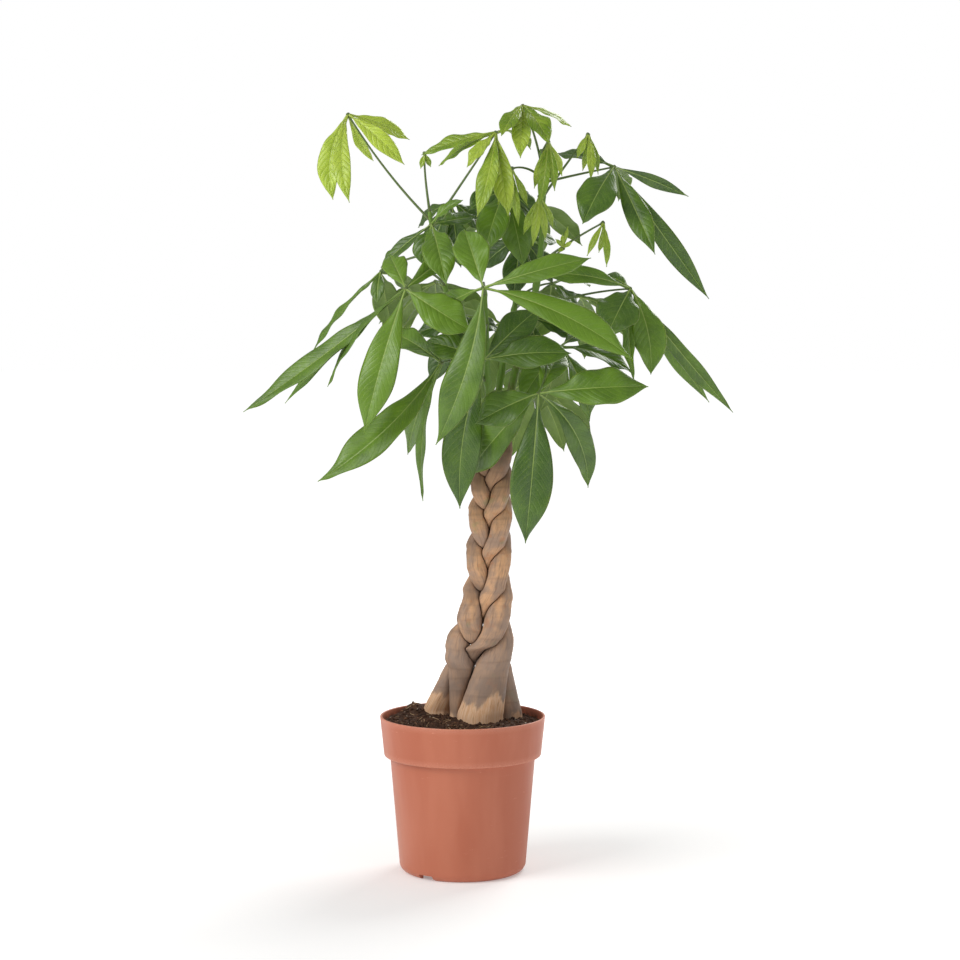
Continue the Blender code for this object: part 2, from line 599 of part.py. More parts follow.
def make_pot(parts, cutters, material):
    """The nursery pot: a thin tapered wall with a collar, a raised drain ring and notches."""
    inner_rim = RIM_RADIUS - WALL
    body_corner = BODY_FOOT_RADIUS - FOOT_ROUND
    outside = [
        (inner_rim, POT_HEIGHT - LIP_ROUND), (inner_rim + LIP_ROUND, POT_HEIGHT),
        (RIM_RADIUS - LIP_ROUND, POT_HEIGHT), (RIM_RADIUS, POT_HEIGHT - LIP_ROUND),
        (COLLAR_FOOT_RADIUS, COLLAR_FOOT_Z + COLLAR_ROUND),
        *rounded((COLLAR_FOOT_RADIUS - COLLAR_ROUND, COLLAR_FOOT_Z + COLLAR_ROUND),
                 COLLAR_ROUND, -15, -90, 3),
        (BODY_TOP_RADIUS + LIP_ROUND, COLLAR_FOOT_Z), (BODY_TOP_RADIUS, COLLAR_FOOT_Z - LIP_ROUND),
        *rounded((body_corner, FOOT_ROUND), FOOT_ROUND, 0, -78, 4),
        (FOOT_RADIUS, 0), (DRAIN_OUTER_RADIUS, 0),
        (DRAIN_OUTER_RADIUS, DRAIN_DEPTH), (DRAIN_INNER_RADIUS, DRAIN_DEPTH),
        (DISC_RADIUS, 0), (0, 0),
    ]
    inside = [
        (0, FLOOR_THICKNESS), (DISC_RADIUS - INNER_INSET, FLOOR_THICKNESS),
        (DRAIN_INNER_RADIUS - INNER_INSET, INNER_FLOOR_Z), (body_corner, INNER_FLOOR_Z),
        (BODY_FOOT_RADIUS - WALL - INNER_INSET, INNER_FLOOR_Z + INNER_CORNER_RISE),
        (BODY_TOP_RADIUS - WALL, STEP_LOW_Z), (COLLAR_FOOT_RADIUS - WALL, STEP_HIGH_Z),
        (inner_rim, POT_HEIGHT - LIP_ROUND),
    ]
    pot = turned("pot", outside + inside, POT_SEGMENTS, parts, material)
    for i in range(NOTCH_COUNT):
        angle = NOTCH_FIRST_ANGLE + i * 2 * math.pi / NOTCH_COUNT
        bpy.ops.mesh.primitive_cube_add(size=1, rotation=(0, 0, angle))
        notch = bpy.context.object
        notch.name = f"notch_{i + 1}"
        notch.dimensions = (NOTCH_LENGTH, NOTCH_WIDTH, 2 * NOTCH_HEIGHT)
        reach = DRAIN_MIDDLE_RADIUS + 0.5 * NOTCH_LENGTH
        notch.location = (reach * math.cos(angle), reach * math.sin(angle), 0)
        rehome(notch, cutters)
        add_boolean(pot, as_cutter(notch), "DIFFERENCE")
    for i in range(DRAIN_HOLE_COUNT):
        angle = NOTCH_FIRST_ANGLE + i * 2 * math.pi / DRAIN_HOLE_COUNT
        bpy.ops.mesh.primitive_cylinder_add(
            vertices=DRAIN_HOLE_SIDES, radius=DRAIN_HOLE_RADIUS, depth=DRAIN_HOLE_REACH)
        hole = bpy.context.object
        hole.name = f"drain_hole_{i + 1}"
        reach = DRAIN_MIDDLE_RADIUS
        hole.location = (reach * math.cos(angle), reach * math.sin(angle), INNER_FLOOR_Z)
        rehome(hole, cutters)
        add_boolean(pot, as_cutter(hole), "DIFFERENCE")


def rehome(obj, collection):
    """Moves an object that an operator made into a collection."""
    for home in list(obj.users_collection):
        home.objects.unlink(obj)
    collection.objects.link(obj)


def soil_height(x, y):
    """Height of the soil's surface: heaped round the stems and at the back left."""
    heap = math.exp(-(math.dist((x, y), SOIL_HEAP_PLACE) / SOIL_HEAP_REACH) ** 2)
    bank = math.exp(-(math.dist((x, y), SOIL_BANK_PLACE) / SOIL_BANK_REACH) ** 2)
    lumps = math.sin(210 * x + 1.3) * math.cos(190 * y - 0.4)
    return SOIL_LEVEL + SOIL_HEAP * heap + SOIL_BANK * bank + SOIL_LUMPS * lumps


def make_soil(parts, cutters, material):
    """The potting soil: it fills the pot, and holds the feet of the stems in close sockets."""
    top_radius = np.interp(SOIL_LEVEL, (STEP_HIGH_Z, POT_HEIGHT),
                           (COLLAR_FOOT_RADIUS, RIM_RADIUS)) - WALL - 3 * GAP
    surface = [(radius, SOIL_LEVEL) for radius in np.linspace(0, top_radius, SOIL_RINGS)]
    wall = [
        (COLLAR_FOOT_RADIUS - WALL - 2 * GAP, STEP_HIGH_Z + GAP),
        (BODY_TOP_RADIUS - WALL - 2 * GAP, STEP_LOW_Z + GAP),
        (BODY_FOOT_RADIUS - WALL - INNER_INSET - 2 * GAP, INNER_FLOOR_Z + INNER_CORNER_RISE),
        (BODY_FOOT_RADIUS - FOOT_ROUND - GAP, INNER_FLOOR_Z + GAP),
        (DRAIN_INNER_RADIUS - INNER_INSET - GAP, INNER_FLOOR_Z + GAP),
        (DISC_RADIUS - INNER_INSET - GAP, FLOOR_THICKNESS + GAP), (0, FLOOR_THICKNESS + GAP),
    ]
    soil = turned("soil", surface + wall, SOIL_STEPS, parts, material)
    for vert in soil.data.vertices:
        if vert.co.z > SOIL_LEVEL - GAP:
            from_wall = top_radius - math.hypot(vert.co.x, vert.co.y)
            share = min(1.0, from_wall / SOIL_EDGE_BAND)
            rise = soil_height(vert.co.x, vert.co.y) - SOIL_LEVEL
            vert.co.z += rise * (SOIL_EDGE_RISE + (1 - SOIL_EDGE_RISE) * share)
    for stem in STEMS:
        heights = (STEM_FOOT_Z - GAP, *np.linspace(SPREAD_LOW_Z, SOCKET_TOP_Z, SOCKET_SECTIONS))
        rings = [stem_section(stem, z, STEM_SIDES, GAP) for z in heights]
        add_boolean(soil, as_cutter(loft(f"{stem.name}_socket", rings, cutters)), "DIFFERENCE")


def make_stems(parts, cutters, material):
    """The four plaited stems. Each is trimmed by grown copies of those before it."""
    grown = []
    for stem in STEMS:
        heights = stem_heights(stem)
        rings = [stem_section(stem, z, STEM_SIDES) for z in heights]
        obj = loft(stem.name, rings, parts, material)
        for other in grown:
            add_boolean(obj, other, "DIFFERENCE")
        rings = [stem_section(stem, z, STEM_SIDES, GAP) for z in heights]
        grown.append(as_cutter(loft(f"{stem.name}_grown", rings, cutters)))


def make_shoots(parts, cutters, material):
    """The green shoots, each with a fatter hidden copy that trims the leaves' stalks."""
    seats = {}
    for shoot in SHOOTS:
        line = shoot_line(shoot, SHOOT_STEPS)
        radii = np.linspace(shoot.base_radius, shoot.tip_radius, len(line)) * MM
        tube(shoot.name, line, radii, 2, parts, material)
        line[-1] += GAP * unit(line[-1] - line[-2])
        seat = tube(f"{shoot.name}_seat", line, radii + GAP, 2, cutters)
        seats[shoot.name] = as_cutter(seat)
    return seats


def make_leaves(parts, cutters, seats, materials):
    """The leaves. Each is its blades and knuckle joined with its stalk, which ends at its shoot."""
    for leaf in LEAVES:
        bm = bmesh.new()
        for blade in leaf.blades:
            mesh = blade_mesh(leaf, blade)
            bm.from_mesh(mesh)
            bpy.data.meshes.remove(mesh)
        made = bmesh.ops.create_icosphere(bm, subdivisions=1, radius=KNUCKLE_RADIUS)
        bmesh.ops.translate(bm, verts=made["verts"], vec=np.array(leaf.hub) * MM)
        obj = object_from(bm, leaf.name, parts, materials[leaf.blades[0].width > 20])
        route = stalk_route(leaf)
        radii = np.linspace(STALK_FOOT_RADIUS, STALK_RADIUS, len(route))
        stalk = as_cutter(tube(f"{leaf.name}_stalk", route, radii, 1, cutters))
        add_boolean(obj, stalk, "UNION", self_too=True)
        add_boolean(obj, seats[leaf.shoot], "DIFFERENCE")


def main():
    """Builds the potted tree."""
    clear_scene()
    parts = new_collection("potted_money_tree")
    cutters = new_collection("cutters")
    make_pot(parts, cutters, new_material("terracotta_plastic", (0.52, 0.20, 0.12), 0.45))
    make_soil(parts, cutters, new_material("potting_soil", (0.05, 0.03, 0.02), 0.95))
    make_stems(parts, cutters, new_material("bark", (0.33, 0.24, 0.17), 0.8))
    seats = make_shoots(parts, cutters, new_material("green_shoot", (0.14, 0.24, 0.04), 0.5))
    young = new_material("young_leaf", (0.22, 0.36, 0.05), 0.4)
    grown = new_material("grown_leaf", (0.06, 0.16, 0.03), 0.4)
    make_leaves(parts, cutters, seats, {False: young, True: grown})


if __name__ == "__main__":
    main()
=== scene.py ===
"""The looks of a potted money tree: plaited bark, green shoots, hand-shaped leaves, soil and pot.

Metres, +Z up, -Y the front, the pot's underside at the origin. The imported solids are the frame:
the pieces made here stand for them, follow the same curves and keep to the same sizes. Only the
dead stub and the loose bits on the soil stand for none of them.
"""

from __future__ import annotations

import logging
import math
from dataclasses import dataclass, field
from enum import Enum
from functools import lru_cache

import bpy
import numpy as np
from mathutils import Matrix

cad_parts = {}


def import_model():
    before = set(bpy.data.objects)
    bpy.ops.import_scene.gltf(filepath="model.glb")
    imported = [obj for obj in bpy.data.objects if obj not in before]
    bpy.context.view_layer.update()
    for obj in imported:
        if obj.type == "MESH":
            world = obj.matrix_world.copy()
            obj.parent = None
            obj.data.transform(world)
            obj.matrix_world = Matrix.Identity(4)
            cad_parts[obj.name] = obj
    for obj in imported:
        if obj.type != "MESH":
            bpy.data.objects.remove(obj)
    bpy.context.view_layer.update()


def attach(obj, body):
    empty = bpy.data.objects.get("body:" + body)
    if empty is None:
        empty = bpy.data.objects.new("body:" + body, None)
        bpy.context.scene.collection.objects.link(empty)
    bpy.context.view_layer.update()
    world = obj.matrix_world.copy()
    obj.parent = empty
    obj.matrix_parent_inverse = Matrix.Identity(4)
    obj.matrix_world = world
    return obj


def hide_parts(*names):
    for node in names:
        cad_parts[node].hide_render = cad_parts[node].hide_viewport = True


LOG = logging.getLogger("potted_money_tree")
ROOT = "root"
MM = 0.001
WELD = 1e-6
HASH_PRIMES = (73856093, 19349663, 83492791)
HASH_MIXES = ((15, 668265263), (13, 374761393))
HASH_MASK = 0x7FFFFFFF
SEED_STEP = 7919
TUBE_START_NORMAL = (0.31, -1.0, 0.12)

Piece = bpy.types.Object
Material = bpy.types.Material
Socket = bpy.types.NodeSocket
Array = np.ndarray


class Slot(Enum):
    """The record's material slots."""

    POT = "terracotta_plastic"
    SOIL = "potting_soil"
    BARK = "bark"
    SHOOT = "green_shoot"
    YOUNG = "young_leaf"
    GROWN = "grown_leaf"


# ---------------------------------------------------------------- shared curves


def unit(vector: Array) -> Array:
    """The vector at length 1."""
    return vector / np.linalg.norm(vector)


def square_to(vector: Array, axis: Array) -> Array:
    """The unit part of a vector that is square to a unit axis."""
    return unit(vector - (vector @ axis) * axis)


def smoothstep(low: float, high: float, value: Array) -> Array:
    """A smooth rise from 0 at low to 1 at high."""
    share = np.clip((value - low) / (high - low), 0, 1)
    return share * share * (3 - 2 * share)


def smooth_line(points: Array, steps: int) -> Array:
    """Points along a Catmull-Rom curve.

    Args:
        points: The points it passes through.
        steps: How many steps each stretch gets.

    Returns:
        The curve's points, one row each.
    """
    points = np.asarray(points, float)
    padded = np.vstack((2 * points[0] - points[1], points, 2 * points[-1] - points[-2]))
    line = []
    for before, start, end, after in zip(padded, padded[1:], padded[2:], padded[3:]):
        for t in np.arange(steps) / steps:
            line.append(0.5 * (2 * start + (end - before) * t
                               + (2 * before - 5 * start + 4 * end - after) * t ** 2
                               + (3 * start - before - 3 * end + after) * t ** 3))
    return np.array(line + [points[-1]])


def arc(start: Array, middle: Array, end: Array, steps: int) -> Array:
    """Points of a quadratic curve between two points, pulled towards a middle one.

    Args:
        start: The first point.
        middle: The point that pulls the curve.
        end: The last point.
        steps: How many steps the curve gets.

    Returns:
        The curve's points, one row each.
    """
    t = np.linspace(0, 1, steps + 1)[:, None]
    return (1 - t) ** 2 * start + 2 * t * (1 - t) * middle + t ** 2 * end


def tangents_of(line: Array) -> Array:
    """The unit direction of a line at each of its points."""
    ahead = np.gradient(line, axis=0)
    return ahead / np.linalg.norm(ahead, axis=1)[:, None]


def carried_normals(tangents: Array, first: Array) -> Array:
    """Normals along a line, carried along it without twisting.

    Args:
        tangents: The line's unit directions.
        first: Roughly which way the first normal points.

    Returns:
        A unit normal for each direction.
    """
    normals = [square_to(first, tangents[0])]
    for tangent in tangents[1:]:
        normals.append(square_to(normals[-1], tangent))
    return np.array(normals)


def resampled(line: Array, count: int) -> Array:
    """The line again, with points evenly spaced along it.

    Args:
        line: Its points.
        count: How many points it gets.

    Returns:
        The new points.
    """
    steps = np.linalg.norm(np.diff(line, axis=0), axis=1)
    run = np.append(0, np.cumsum(steps))
    places = np.linspace(0, run[-1], count)
    return np.column_stack([np.interp(places, run, line[:, i]) for i in range(3)])


def value_noise(points: Array, seed: int) -> Array:
    """Smooth noise in -1..1, of wavelength about 1, the same each run.

    Args:
        points: Places in space, in an array whose last axis is x, y, z.
        seed: Picks one of many unrelated patterns.

    Returns:
        One value per place.
    """
    base = np.floor(points).astype(np.int64)
    share = points - base
    share = share * share * (3 - 2 * share)
    total = np.zeros(points.shape[:-1])
    for corner in np.ndindex(2, 2, 2):
        key = (base + corner) @ np.array(HASH_PRIMES) + seed * SEED_STEP
        for shift, factor in HASH_MIXES:
            key = (key ^ (key >> shift)) * factor & HASH_MASK
        value = (key & 0xFFFF) / 32767.5 - 1
        total += value * np.prod(np.where(corner, share, 1 - share), axis=-1)
    return total


def rough_noise(points: Array, seed: int, octaves: int = 3) -> Array:
    """Value noise summed over octaves, each twice as fine and half as strong."""
    return sum(value_noise(points * 2 ** i, seed + i) / 2 ** i for i in range(octaves))


# ---------------------------------------------------------------- mesh helpers


def deselect() -> None:
    """Leaves object mode with nothing selected."""
    if bpy.context.object and bpy.context.object.mode != "OBJECT":
        bpy.ops.object.mode_set(mode="OBJECT")
    bpy.ops.object.select_all(action="DESELECT")


def select(*pieces: Piece) -> None:
    """Selects these pieces only, the first one active."""
    deselect()
    for piece in pieces:
        piece.select_set(True)
    bpy.context.view_layer.objects.active = pieces[0]


def joined(name: str, pieces: list[Piece]) -> Piece:
    """Joins pieces into one.

    Args:
        name: The new piece's name.
        pieces: One or more pieces.

    Returns:
        The joined piece.
    """
    select(*pieces)
    if len(pieces) > 1:
        bpy.ops.object.join()
    piece = bpy.context.object
    piece.name = piece.data.name = name
    return piece


def welded(piece: Piece) -> Piece:
    """Merges a piece's doubled points, turns its faces outwards and shades it smooth."""
    select(piece)
    bpy.ops.object.mode_set(mode="EDIT")
    bpy.ops.mesh.select_all(action="SELECT")
    bpy.ops.mesh.remove_doubles(threshold=WELD)
    bpy.ops.mesh.normals_make_consistent(inside=False)
    bpy.ops.object.mode_set(mode="OBJECT")
    bpy.ops.object.shade_smooth()
    return piece


def skin(name: str, rows: Array, marks: dict[str, Array]) -> Piece:
    """A closed surface: a grid whose points are moved onto loops, then welded at seam and poles.

    Args:
        name: The piece's name.
        rows: Loops of points, (rows, columns, 3), the last column on the first.
        marks: Values for the materials, each (rows, columns) or (rows, columns, 3).

    Returns:
        The piece.
    """
    count, columns = rows.shape[:2]
    deselect()
    bpy.ops.mesh.primitive_grid_add(x_subdivisions=columns - 1, y_subdivisions=count - 1, size=1)
    piece = bpy.context.object
    piece.name = piece.data.name = name
    piece.data.vertices.foreach_set("co", rows.astype(np.float32).ravel())
    for mark, values in marks.items():
        is_vector = values.ndim == 3
        kind, entry = ("FLOAT_VECTOR", "vector") if is_vector else ("FLOAT", "value")
        made = piece.data.attributes.new(mark, kind, "POINT")
        made.data.foreach_set(entry, values.astype(np.float32).ravel())
    return welded(piece)


def tube_rows(line: Array, radii: Array, columns: int) -> tuple[Array, Array]:
    """Loops of a tube round a line, closed to a point at both ends.

    Args:
        line: The tube's axis.
        radii: Its radius at each point of the axis.
        columns: Points round it.

    Returns:
        The loops, and for each point its place on the unrolled skin, seamless round the tube.
    """
    tangents = tangents_of(line)
    normals = carried_normals(tangents, np.array(TUBE_START_NORMAL))
    sides = np.cross(tangents, normals)
    angles = np.linspace(0, 2 * math.pi, columns + 1)
    rays = normals[:, None] * np.cos(angles)[:, None] + sides[:, None] * np.sin(angles)[:, None]
    reach = radii[:, None] * np.ones(columns + 1)
    loops = line[:, None] + rays * reach[..., None]
    run = np.append(0, np.cumsum(np.linalg.norm(np.diff(line, axis=0), axis=1)))
    place = np.stack((radii[:, None] * np.cos(angles), radii[:, None] * np.sin(angles),
                      run[:, None] * np.ones(columns + 1)), axis=-1)
    caps = line[[0, -1]][:, None] * np.ones((1, columns + 1, 1))
    loops = np.concatenate((caps[:1], loops, caps[1:]))
    place = np.concatenate((place[:1] * (0, 0, 1), place, place[-1:] * (0, 0, 1)))
    return loops, place


def adopt(piece: Piece, slot: Slot, material: Material, *nodes: str) -> Piece:
    """Gives a piece its body and material, and hides the solids that it stands for.

    Args:
        piece: The finished piece.
        slot: The record's slot that it takes its finish from; not used.
        material: Its material.
        nodes: The solids that it stands for.

    Returns:
        The same piece.
    """
    piece.data.materials.clear()
    piece.data.materials.append(material)
    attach(piece, ROOT)
    if nodes:
        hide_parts(*nodes)
    LOG.info("%s: %d faces", piece.name, len(piece.data.polygons))
    return piece


# ---------------------------------------------------------------- finishes


def srgb(red: float, green: float, blue: float) -> tuple[float, float, float, float]:
    """A screen colour, 0 to 255, as linear light."""
    shares = [value / 255 for value in (red, green, blue)]
    linear = [s / 12.92 if s <= 0.04045 else ((s + 0.055) / 1.055) ** 2.4 for s in shares]
    return (*linear, 1.0)


class Wiring:
    """The nodes of one material, added and linked by short calls."""

    def __init__(self, name: str) -> None:
        """Starts a material with its shader."""
        self.material = bpy.data.materials.new(name)
        self.material.use_nodes = True
        self.tree = self.material.node_tree
        self.shader = self.tree.nodes["Principled BSDF"]

    def put(self, socket: Socket, value: object) -> None:
        """Gives a socket its source or its value.

        Args:
            socket: The socket.
            value: Another node's output, or a plain value.
        """
        if isinstance(value, Socket):
            self.tree.links.new(value, socket)
        else:
            socket.default_value = value

    def set(self, **values: object) -> None:
        """Sets or links the shader's own sockets, named with _ for a space."""
        for name, value in values.items():
            self.put(self.shader.inputs[name.replace("_", " ")], value)

    def mark(self, name: str, output: str = "Fac") -> Socket:
        """Reads a number that the mesh carries, or with the output Vector a place."""
        node = self.add("Attribute")
        node.attribute_name = name
        return node.outputs[output]

    def places(self) -> Socket:
        """Object coordinates."""
        return self.add("TexCoord").outputs["Object"]

    def add(self, kind: str, **inputs: object) -> bpy.types.Node:
        """Adds a node.

        Args:
            kind: Its type, without the ShaderNode in front.
            inputs: A source or a value for each input, named with _ for a space.

        Returns:
            The node.
        """
        node = self.tree.nodes.new(f"ShaderNode{kind}")
        for name, value in inputs.items():
            self.put(node.inputs[name.replace("_", " ")], value)
        return node

    def math(self, operation: str, *values: object) -> Socket:
        """A sum on numbers.

        Args:
            operation: Which sum, such as ADD or MULTIPLY.
            values: Sources or numbers.

        Returns:
            The result.
        """
        node = self.add("Math")
        node.operation = operation
        for socket, value in zip(node.inputs, values):
            self.put(socket, value)
        return node.outputs[0]

    def vector_math(self, operation: str, output: str, *values: object) -> Socket:
        """A sum on vectors.

        Args:
            operation: Which sum.
            output: The output that holds its result.
            values: Sources or vectors.

        Returns:
            The result.
        """
        node = self.add("VectorMath")
        node.operation = operation
        for socket, value in zip(node.inputs, values):
            self.put(socket, value)
        return node.outputs[output]

    def scaled(self, vector: Socket, scale: tuple) -> Socket:
        """A vector stretched along its axes."""
        return self.vector_math("MULTIPLY", "Vector", vector, scale)

    def length(self, vector: Socket) -> Socket:
        """A vector's length."""
        return self.vector_math("LENGTH", "Value", vector)

    def noise(self, vector: Socket, scale: float, detail: float = 3.0,
              roughness: float = 0.55) -> Socket:
        """A noise pattern.

        Args:
            vector: The places it is laid on.
            scale: How many waves there are to a metre.
            detail: How many finer layers are added.
            roughness: How strong each of them is against the one before.

        Returns:
            The pattern, 0 to 1.
        """
        node = self.add("TexNoise", Vector=vector, Scale=scale, Detail=detail, Roughness=roughness)
        return node.outputs["Fac"]

    def cells(self, vector: Socket, scale: float, feature: str = "DISTANCE_TO_EDGE") -> Socket:
        """Distances in a cell pattern.

        Args:
            vector: The places it is laid on.
            scale: How many cells there are to a metre.
            feature: What is measured to: the cells' edges, or with F1 their middles.

        Returns:
            The distance, in cells.
        """
        node = self.add("TexVoronoi", Vector=vector, Scale=scale)
        node.feature = feature
        return node.outputs["Distance"]

    def between(self, value: Socket, low: float, high: float, start: float = 0.0,
                end: float = 1.0) -> Socket:
        """A value rescaled smoothly, and held at both ends.

        Args:
            value: The value.
            low: Where the rise begins.
            high: Where it ends.
            start: The result at low.
            end: The result at high.

        Returns:
            The rescaled value.
        """
        node = self.add("MapRange", Value=value, From_Min=low, From_Max=high, To_Min=start,
                        To_Max=end)
        node.interpolation_type = "SMOOTHSTEP"
        return node.outputs["Result"]

    def blend(self, share: object, first: object, second: object) -> Socket:
        """The first colour going over to the second as the share goes from 0 to 1.

        Args:
            share: How much of the second there is, a source or a number.
            first: A colour or its source.
            second: A colour or its source.

        Returns:
            The blended colour.
        """
        node = self.add("Mix", Factor=share)
        node.data_type = "RGBA"
        colours = [socket for socket in node.inputs if socket.type == "RGBA"]
        self.put(colours[0], first)
        self.put(colours[1], second)
        return next(socket for socket in node.outputs if socket.type == "RGBA")

    def over(self, body: Socket, pattern: Socket, low: float, high: float, most: float,
             colour: tuple) -> Socket:
        """Lays a colour over another where a pattern is high.

        Args:
            body: The colour below.
            pattern: What says where.
            low: The pattern's value at which the colour on top begins.
            high: The value at which it is strongest.
            most: Its share there.
            colour: The colour on top.

        Returns:
            The blended colour.
        """
        return self.blend(self.between(pattern, low, high, 0.0, most), body, colour)

    def bumped(self, height: object, distance: float, strength: float,
               under: Socket | None = None) -> Socket:
        """A normal tilted by a height pattern.

        Args:
            height: The pattern.
            distance: How high it stands, in metres, where it is 1.
            strength: Its share of that.
            under: The normal of the relief below it, if there is one.

        Returns:
            The normal.
        """
        node = self.add("Bump", Strength=strength, Distance=distance, Height=height)
        if under:
            self.put(node.inputs["Normal"], under)
        return node.outputs["Normal"]


@dataclass(frozen=True)
class LeafFinish:
    """Leaf skin with sunken side veins, a pale rib and a paler underside.

    Its meshes carry: vein, a count of side veins; across, 0 at the rib and 1 at the margin;
    rib, the distance from the rib's middle in rib widths; under, 1 on the underside; and tone,
    higher on a paler leaf, partly random and partly painted light and shade.
    """

    name: str
    deep: tuple
    light: tuple
    rib: tuple
    under: tuple
    roughness: float
    glow: float
    vein_share: float
    quilting: float
    shine: float

    def make(self) -> Material:
        """Builds the material."""
        w = Wiring(self.name)
        places = w.places()
        across, under, tone = w.mark("across"), w.mark("under"), w.mark("tone")
        mottle = w.noise(places, 42.0, 4.0)
        # The tone carries each leaf's painted light and shade, on top of random mottling.
        shade = w.math("ADD", w.math("MULTIPLY", mottle, 0.8), w.math("MULTIPLY", tone, 0.6))
        body = w.blend(w.between(shade, 0.35, 1.05), self.deep, self.light)
        side_vein = w.math("PINGPONG", w.mark("vein"), 0.5)
        vein_line = w.math("MULTIPLY", w.between(side_vein, 0.0, 0.07, self.vein_share, 0.0),
                           w.between(across, 0.4, 0.95, 1.0, 0.3))
        body = w.blend(vein_line, body, self.rib)
        net = w.cells(places, 520.0)
        body = w.blend(w.between(net, 0.0, 0.12, 0.12, 0.0), body, self.rib)
        body = w.over(body, across, 0.95, 1.0, 0.35, self.rib)
        rib_line = w.between(w.mark("rib"), 0.35, 0.85, 0.8, 0.0)
        body = w.blend(rib_line, body, self.rib)
        back = w.blend(w.between(mottle, 0.3, 0.7, 0.0, 0.35), self.under, self.deep)
        back = w.blend(w.math("MAXIMUM", rib_line, vein_line), back, self.rib)
        colour = w.blend(w.between(under, 0.4, 0.6), body, back)
        gloss = w.math("ADD", w.between(w.noise(places, 190.0, 3.0), 0.3, 0.7, -0.05, 0.07),
                       w.between(under, 0.4, 0.6, self.roughness, self.roughness + 0.22))
        net_relief = w.bumped(net, 0.0002, 0.35)
        vein_relief = w.bumped(w.between(side_vein, 0.0, 0.2), 0.0004, self.quilting, net_relief)
        w.set(Base_Color=colour, Roughness=gloss, Normal=vein_relief, Subsurface_Weight=self.glow,
              Subsurface_Radius=(0.9, 1.0, 0.6), Subsurface_Scale=0.0015,
              Specular_IOR_Level=self.shine)
        return w.material


@dataclass(frozen=True)
class BarkFinish:
    """Grey-brown bark with tan patches, rings of old leaf scars and a cream fibrous foot.

    It is ashen below ashen_z and darkest above shaded_z, where the crown's shade is painted on;
    both heights in metres.

    Its meshes carry: skin, the place on the unrolled skin; groove, 1 where a stem is pressed
    against its neighbour, where painted shade darkens it; fibre, 1 at the fibrous foot; scar, 1 on
    a ring; cut, 1 on the cut top.
    """

    name: str = "plaited_bark"
    dark: tuple = srgb(110, 90, 76)
    grey: tuple = srgb(162, 134, 114)
    tan: tuple = srgb(208, 162, 122)
    ash: tuple = srgb(142, 124, 112)
    cream: tuple = srgb(218, 184, 152)
    rust: tuple = srgb(180, 118, 74)
    moss: tuple = srgb(132, 132, 88)
    # The dark of the scars' cracks, also used as painted shade in the grooves between stems.
    crack_and_shade: tuple = srgb(66, 48, 38)
    ashen_z: tuple = (0.21, 0.29)
    shaded_z: tuple = (0.36, 0.43)

    def make(self) -> Material:
        """Builds the material."""
        w = Wiring(self.name)
        skin_place, places = w.mark("skin", "Vector"), w.places()
        streaks = w.noise(w.scaled(skin_place, (1.0, 1.0, 0.10)), 420.0, 4.0, 0.6)
        blotch = w.noise(w.scaled(skin_place, (1.0, 1.0, 0.55)), 70.0, 4.0, 0.6)
        rings = w.noise(w.scaled(skin_place, (0.12, 0.12, 1.0)), 330.0, 3.0, 0.6)
        body = w.blend(w.between(blotch, 0.36, 0.62), self.grey, self.tan)
        body = w.over(body, w.noise(places, 30.0, 2.0), 0.46, 0.66, 0.6, self.dark)
        body = w.over(body, rings, 0.54, 0.72, 0.15, self.dark)
        body = w.over(body, streaks, 0.48, 0.70, 0.6, self.dark)
        body = w.over(body, w.noise(places, 95.0, 5.0), 0.56, 0.68, 0.45, self.rust)
        body = w.over(body, w.noise(places, 48.0, 4.0), 0.60, 0.72, 0.5, self.moss)
        height = w.length(w.scaled(places, (0.0, 0.0, 1.0)))
        body = w.blend(w.between(height, *self.ashen_z, 0.65, 0.0), body, self.ash)
        # Painted shade: the crown's shadow over the top of the trunk.
        body = w.over(body, height, *self.shaded_z, 0.75, self.dark)
        threads = w.noise(w.scaled(skin_place, (1.0, 1.0, 0.05)), 760.0, 4.0, 0.65)
        fibres = w.blend(w.between(threads, 0.40, 0.62), self.cream, self.tan)
        fibres = w.over(fibres, threads, 0.62, 0.72, 0.8, self.dark)
        ragged = w.math("ADD", w.mark("fibre"), w.between(blotch, 0.3, 0.7, -0.35, 0.35))
        body = w.blend(w.between(ragged, 0.30, 0.80), body, fibres)
        body = w.blend(w.math("MULTIPLY", w.mark("scar"), 0.2), body, self.crack_and_shade)
        body = w.blend(w.mark("cut"), body, self.tan)
        # Painted shade in the grooves where the stems press against each other.
        colour = w.blend(w.mark("groove"), body, self.crack_and_shade)
        pits = w.bumped(w.cells(w.scaled(skin_place, (1.0, 1.0, 0.5)), 620.0), 0.0003, 0.35)
        relief = w.bumped(w.math("ADD", streaks, threads), 0.0005, 0.55, pits)
        w.set(Base_Color=colour, Normal=relief,
              Roughness=w.between(blotch, 0.3, 0.7, 0.62, 0.85), Specular_IOR_Level=0.35)
        return w.material


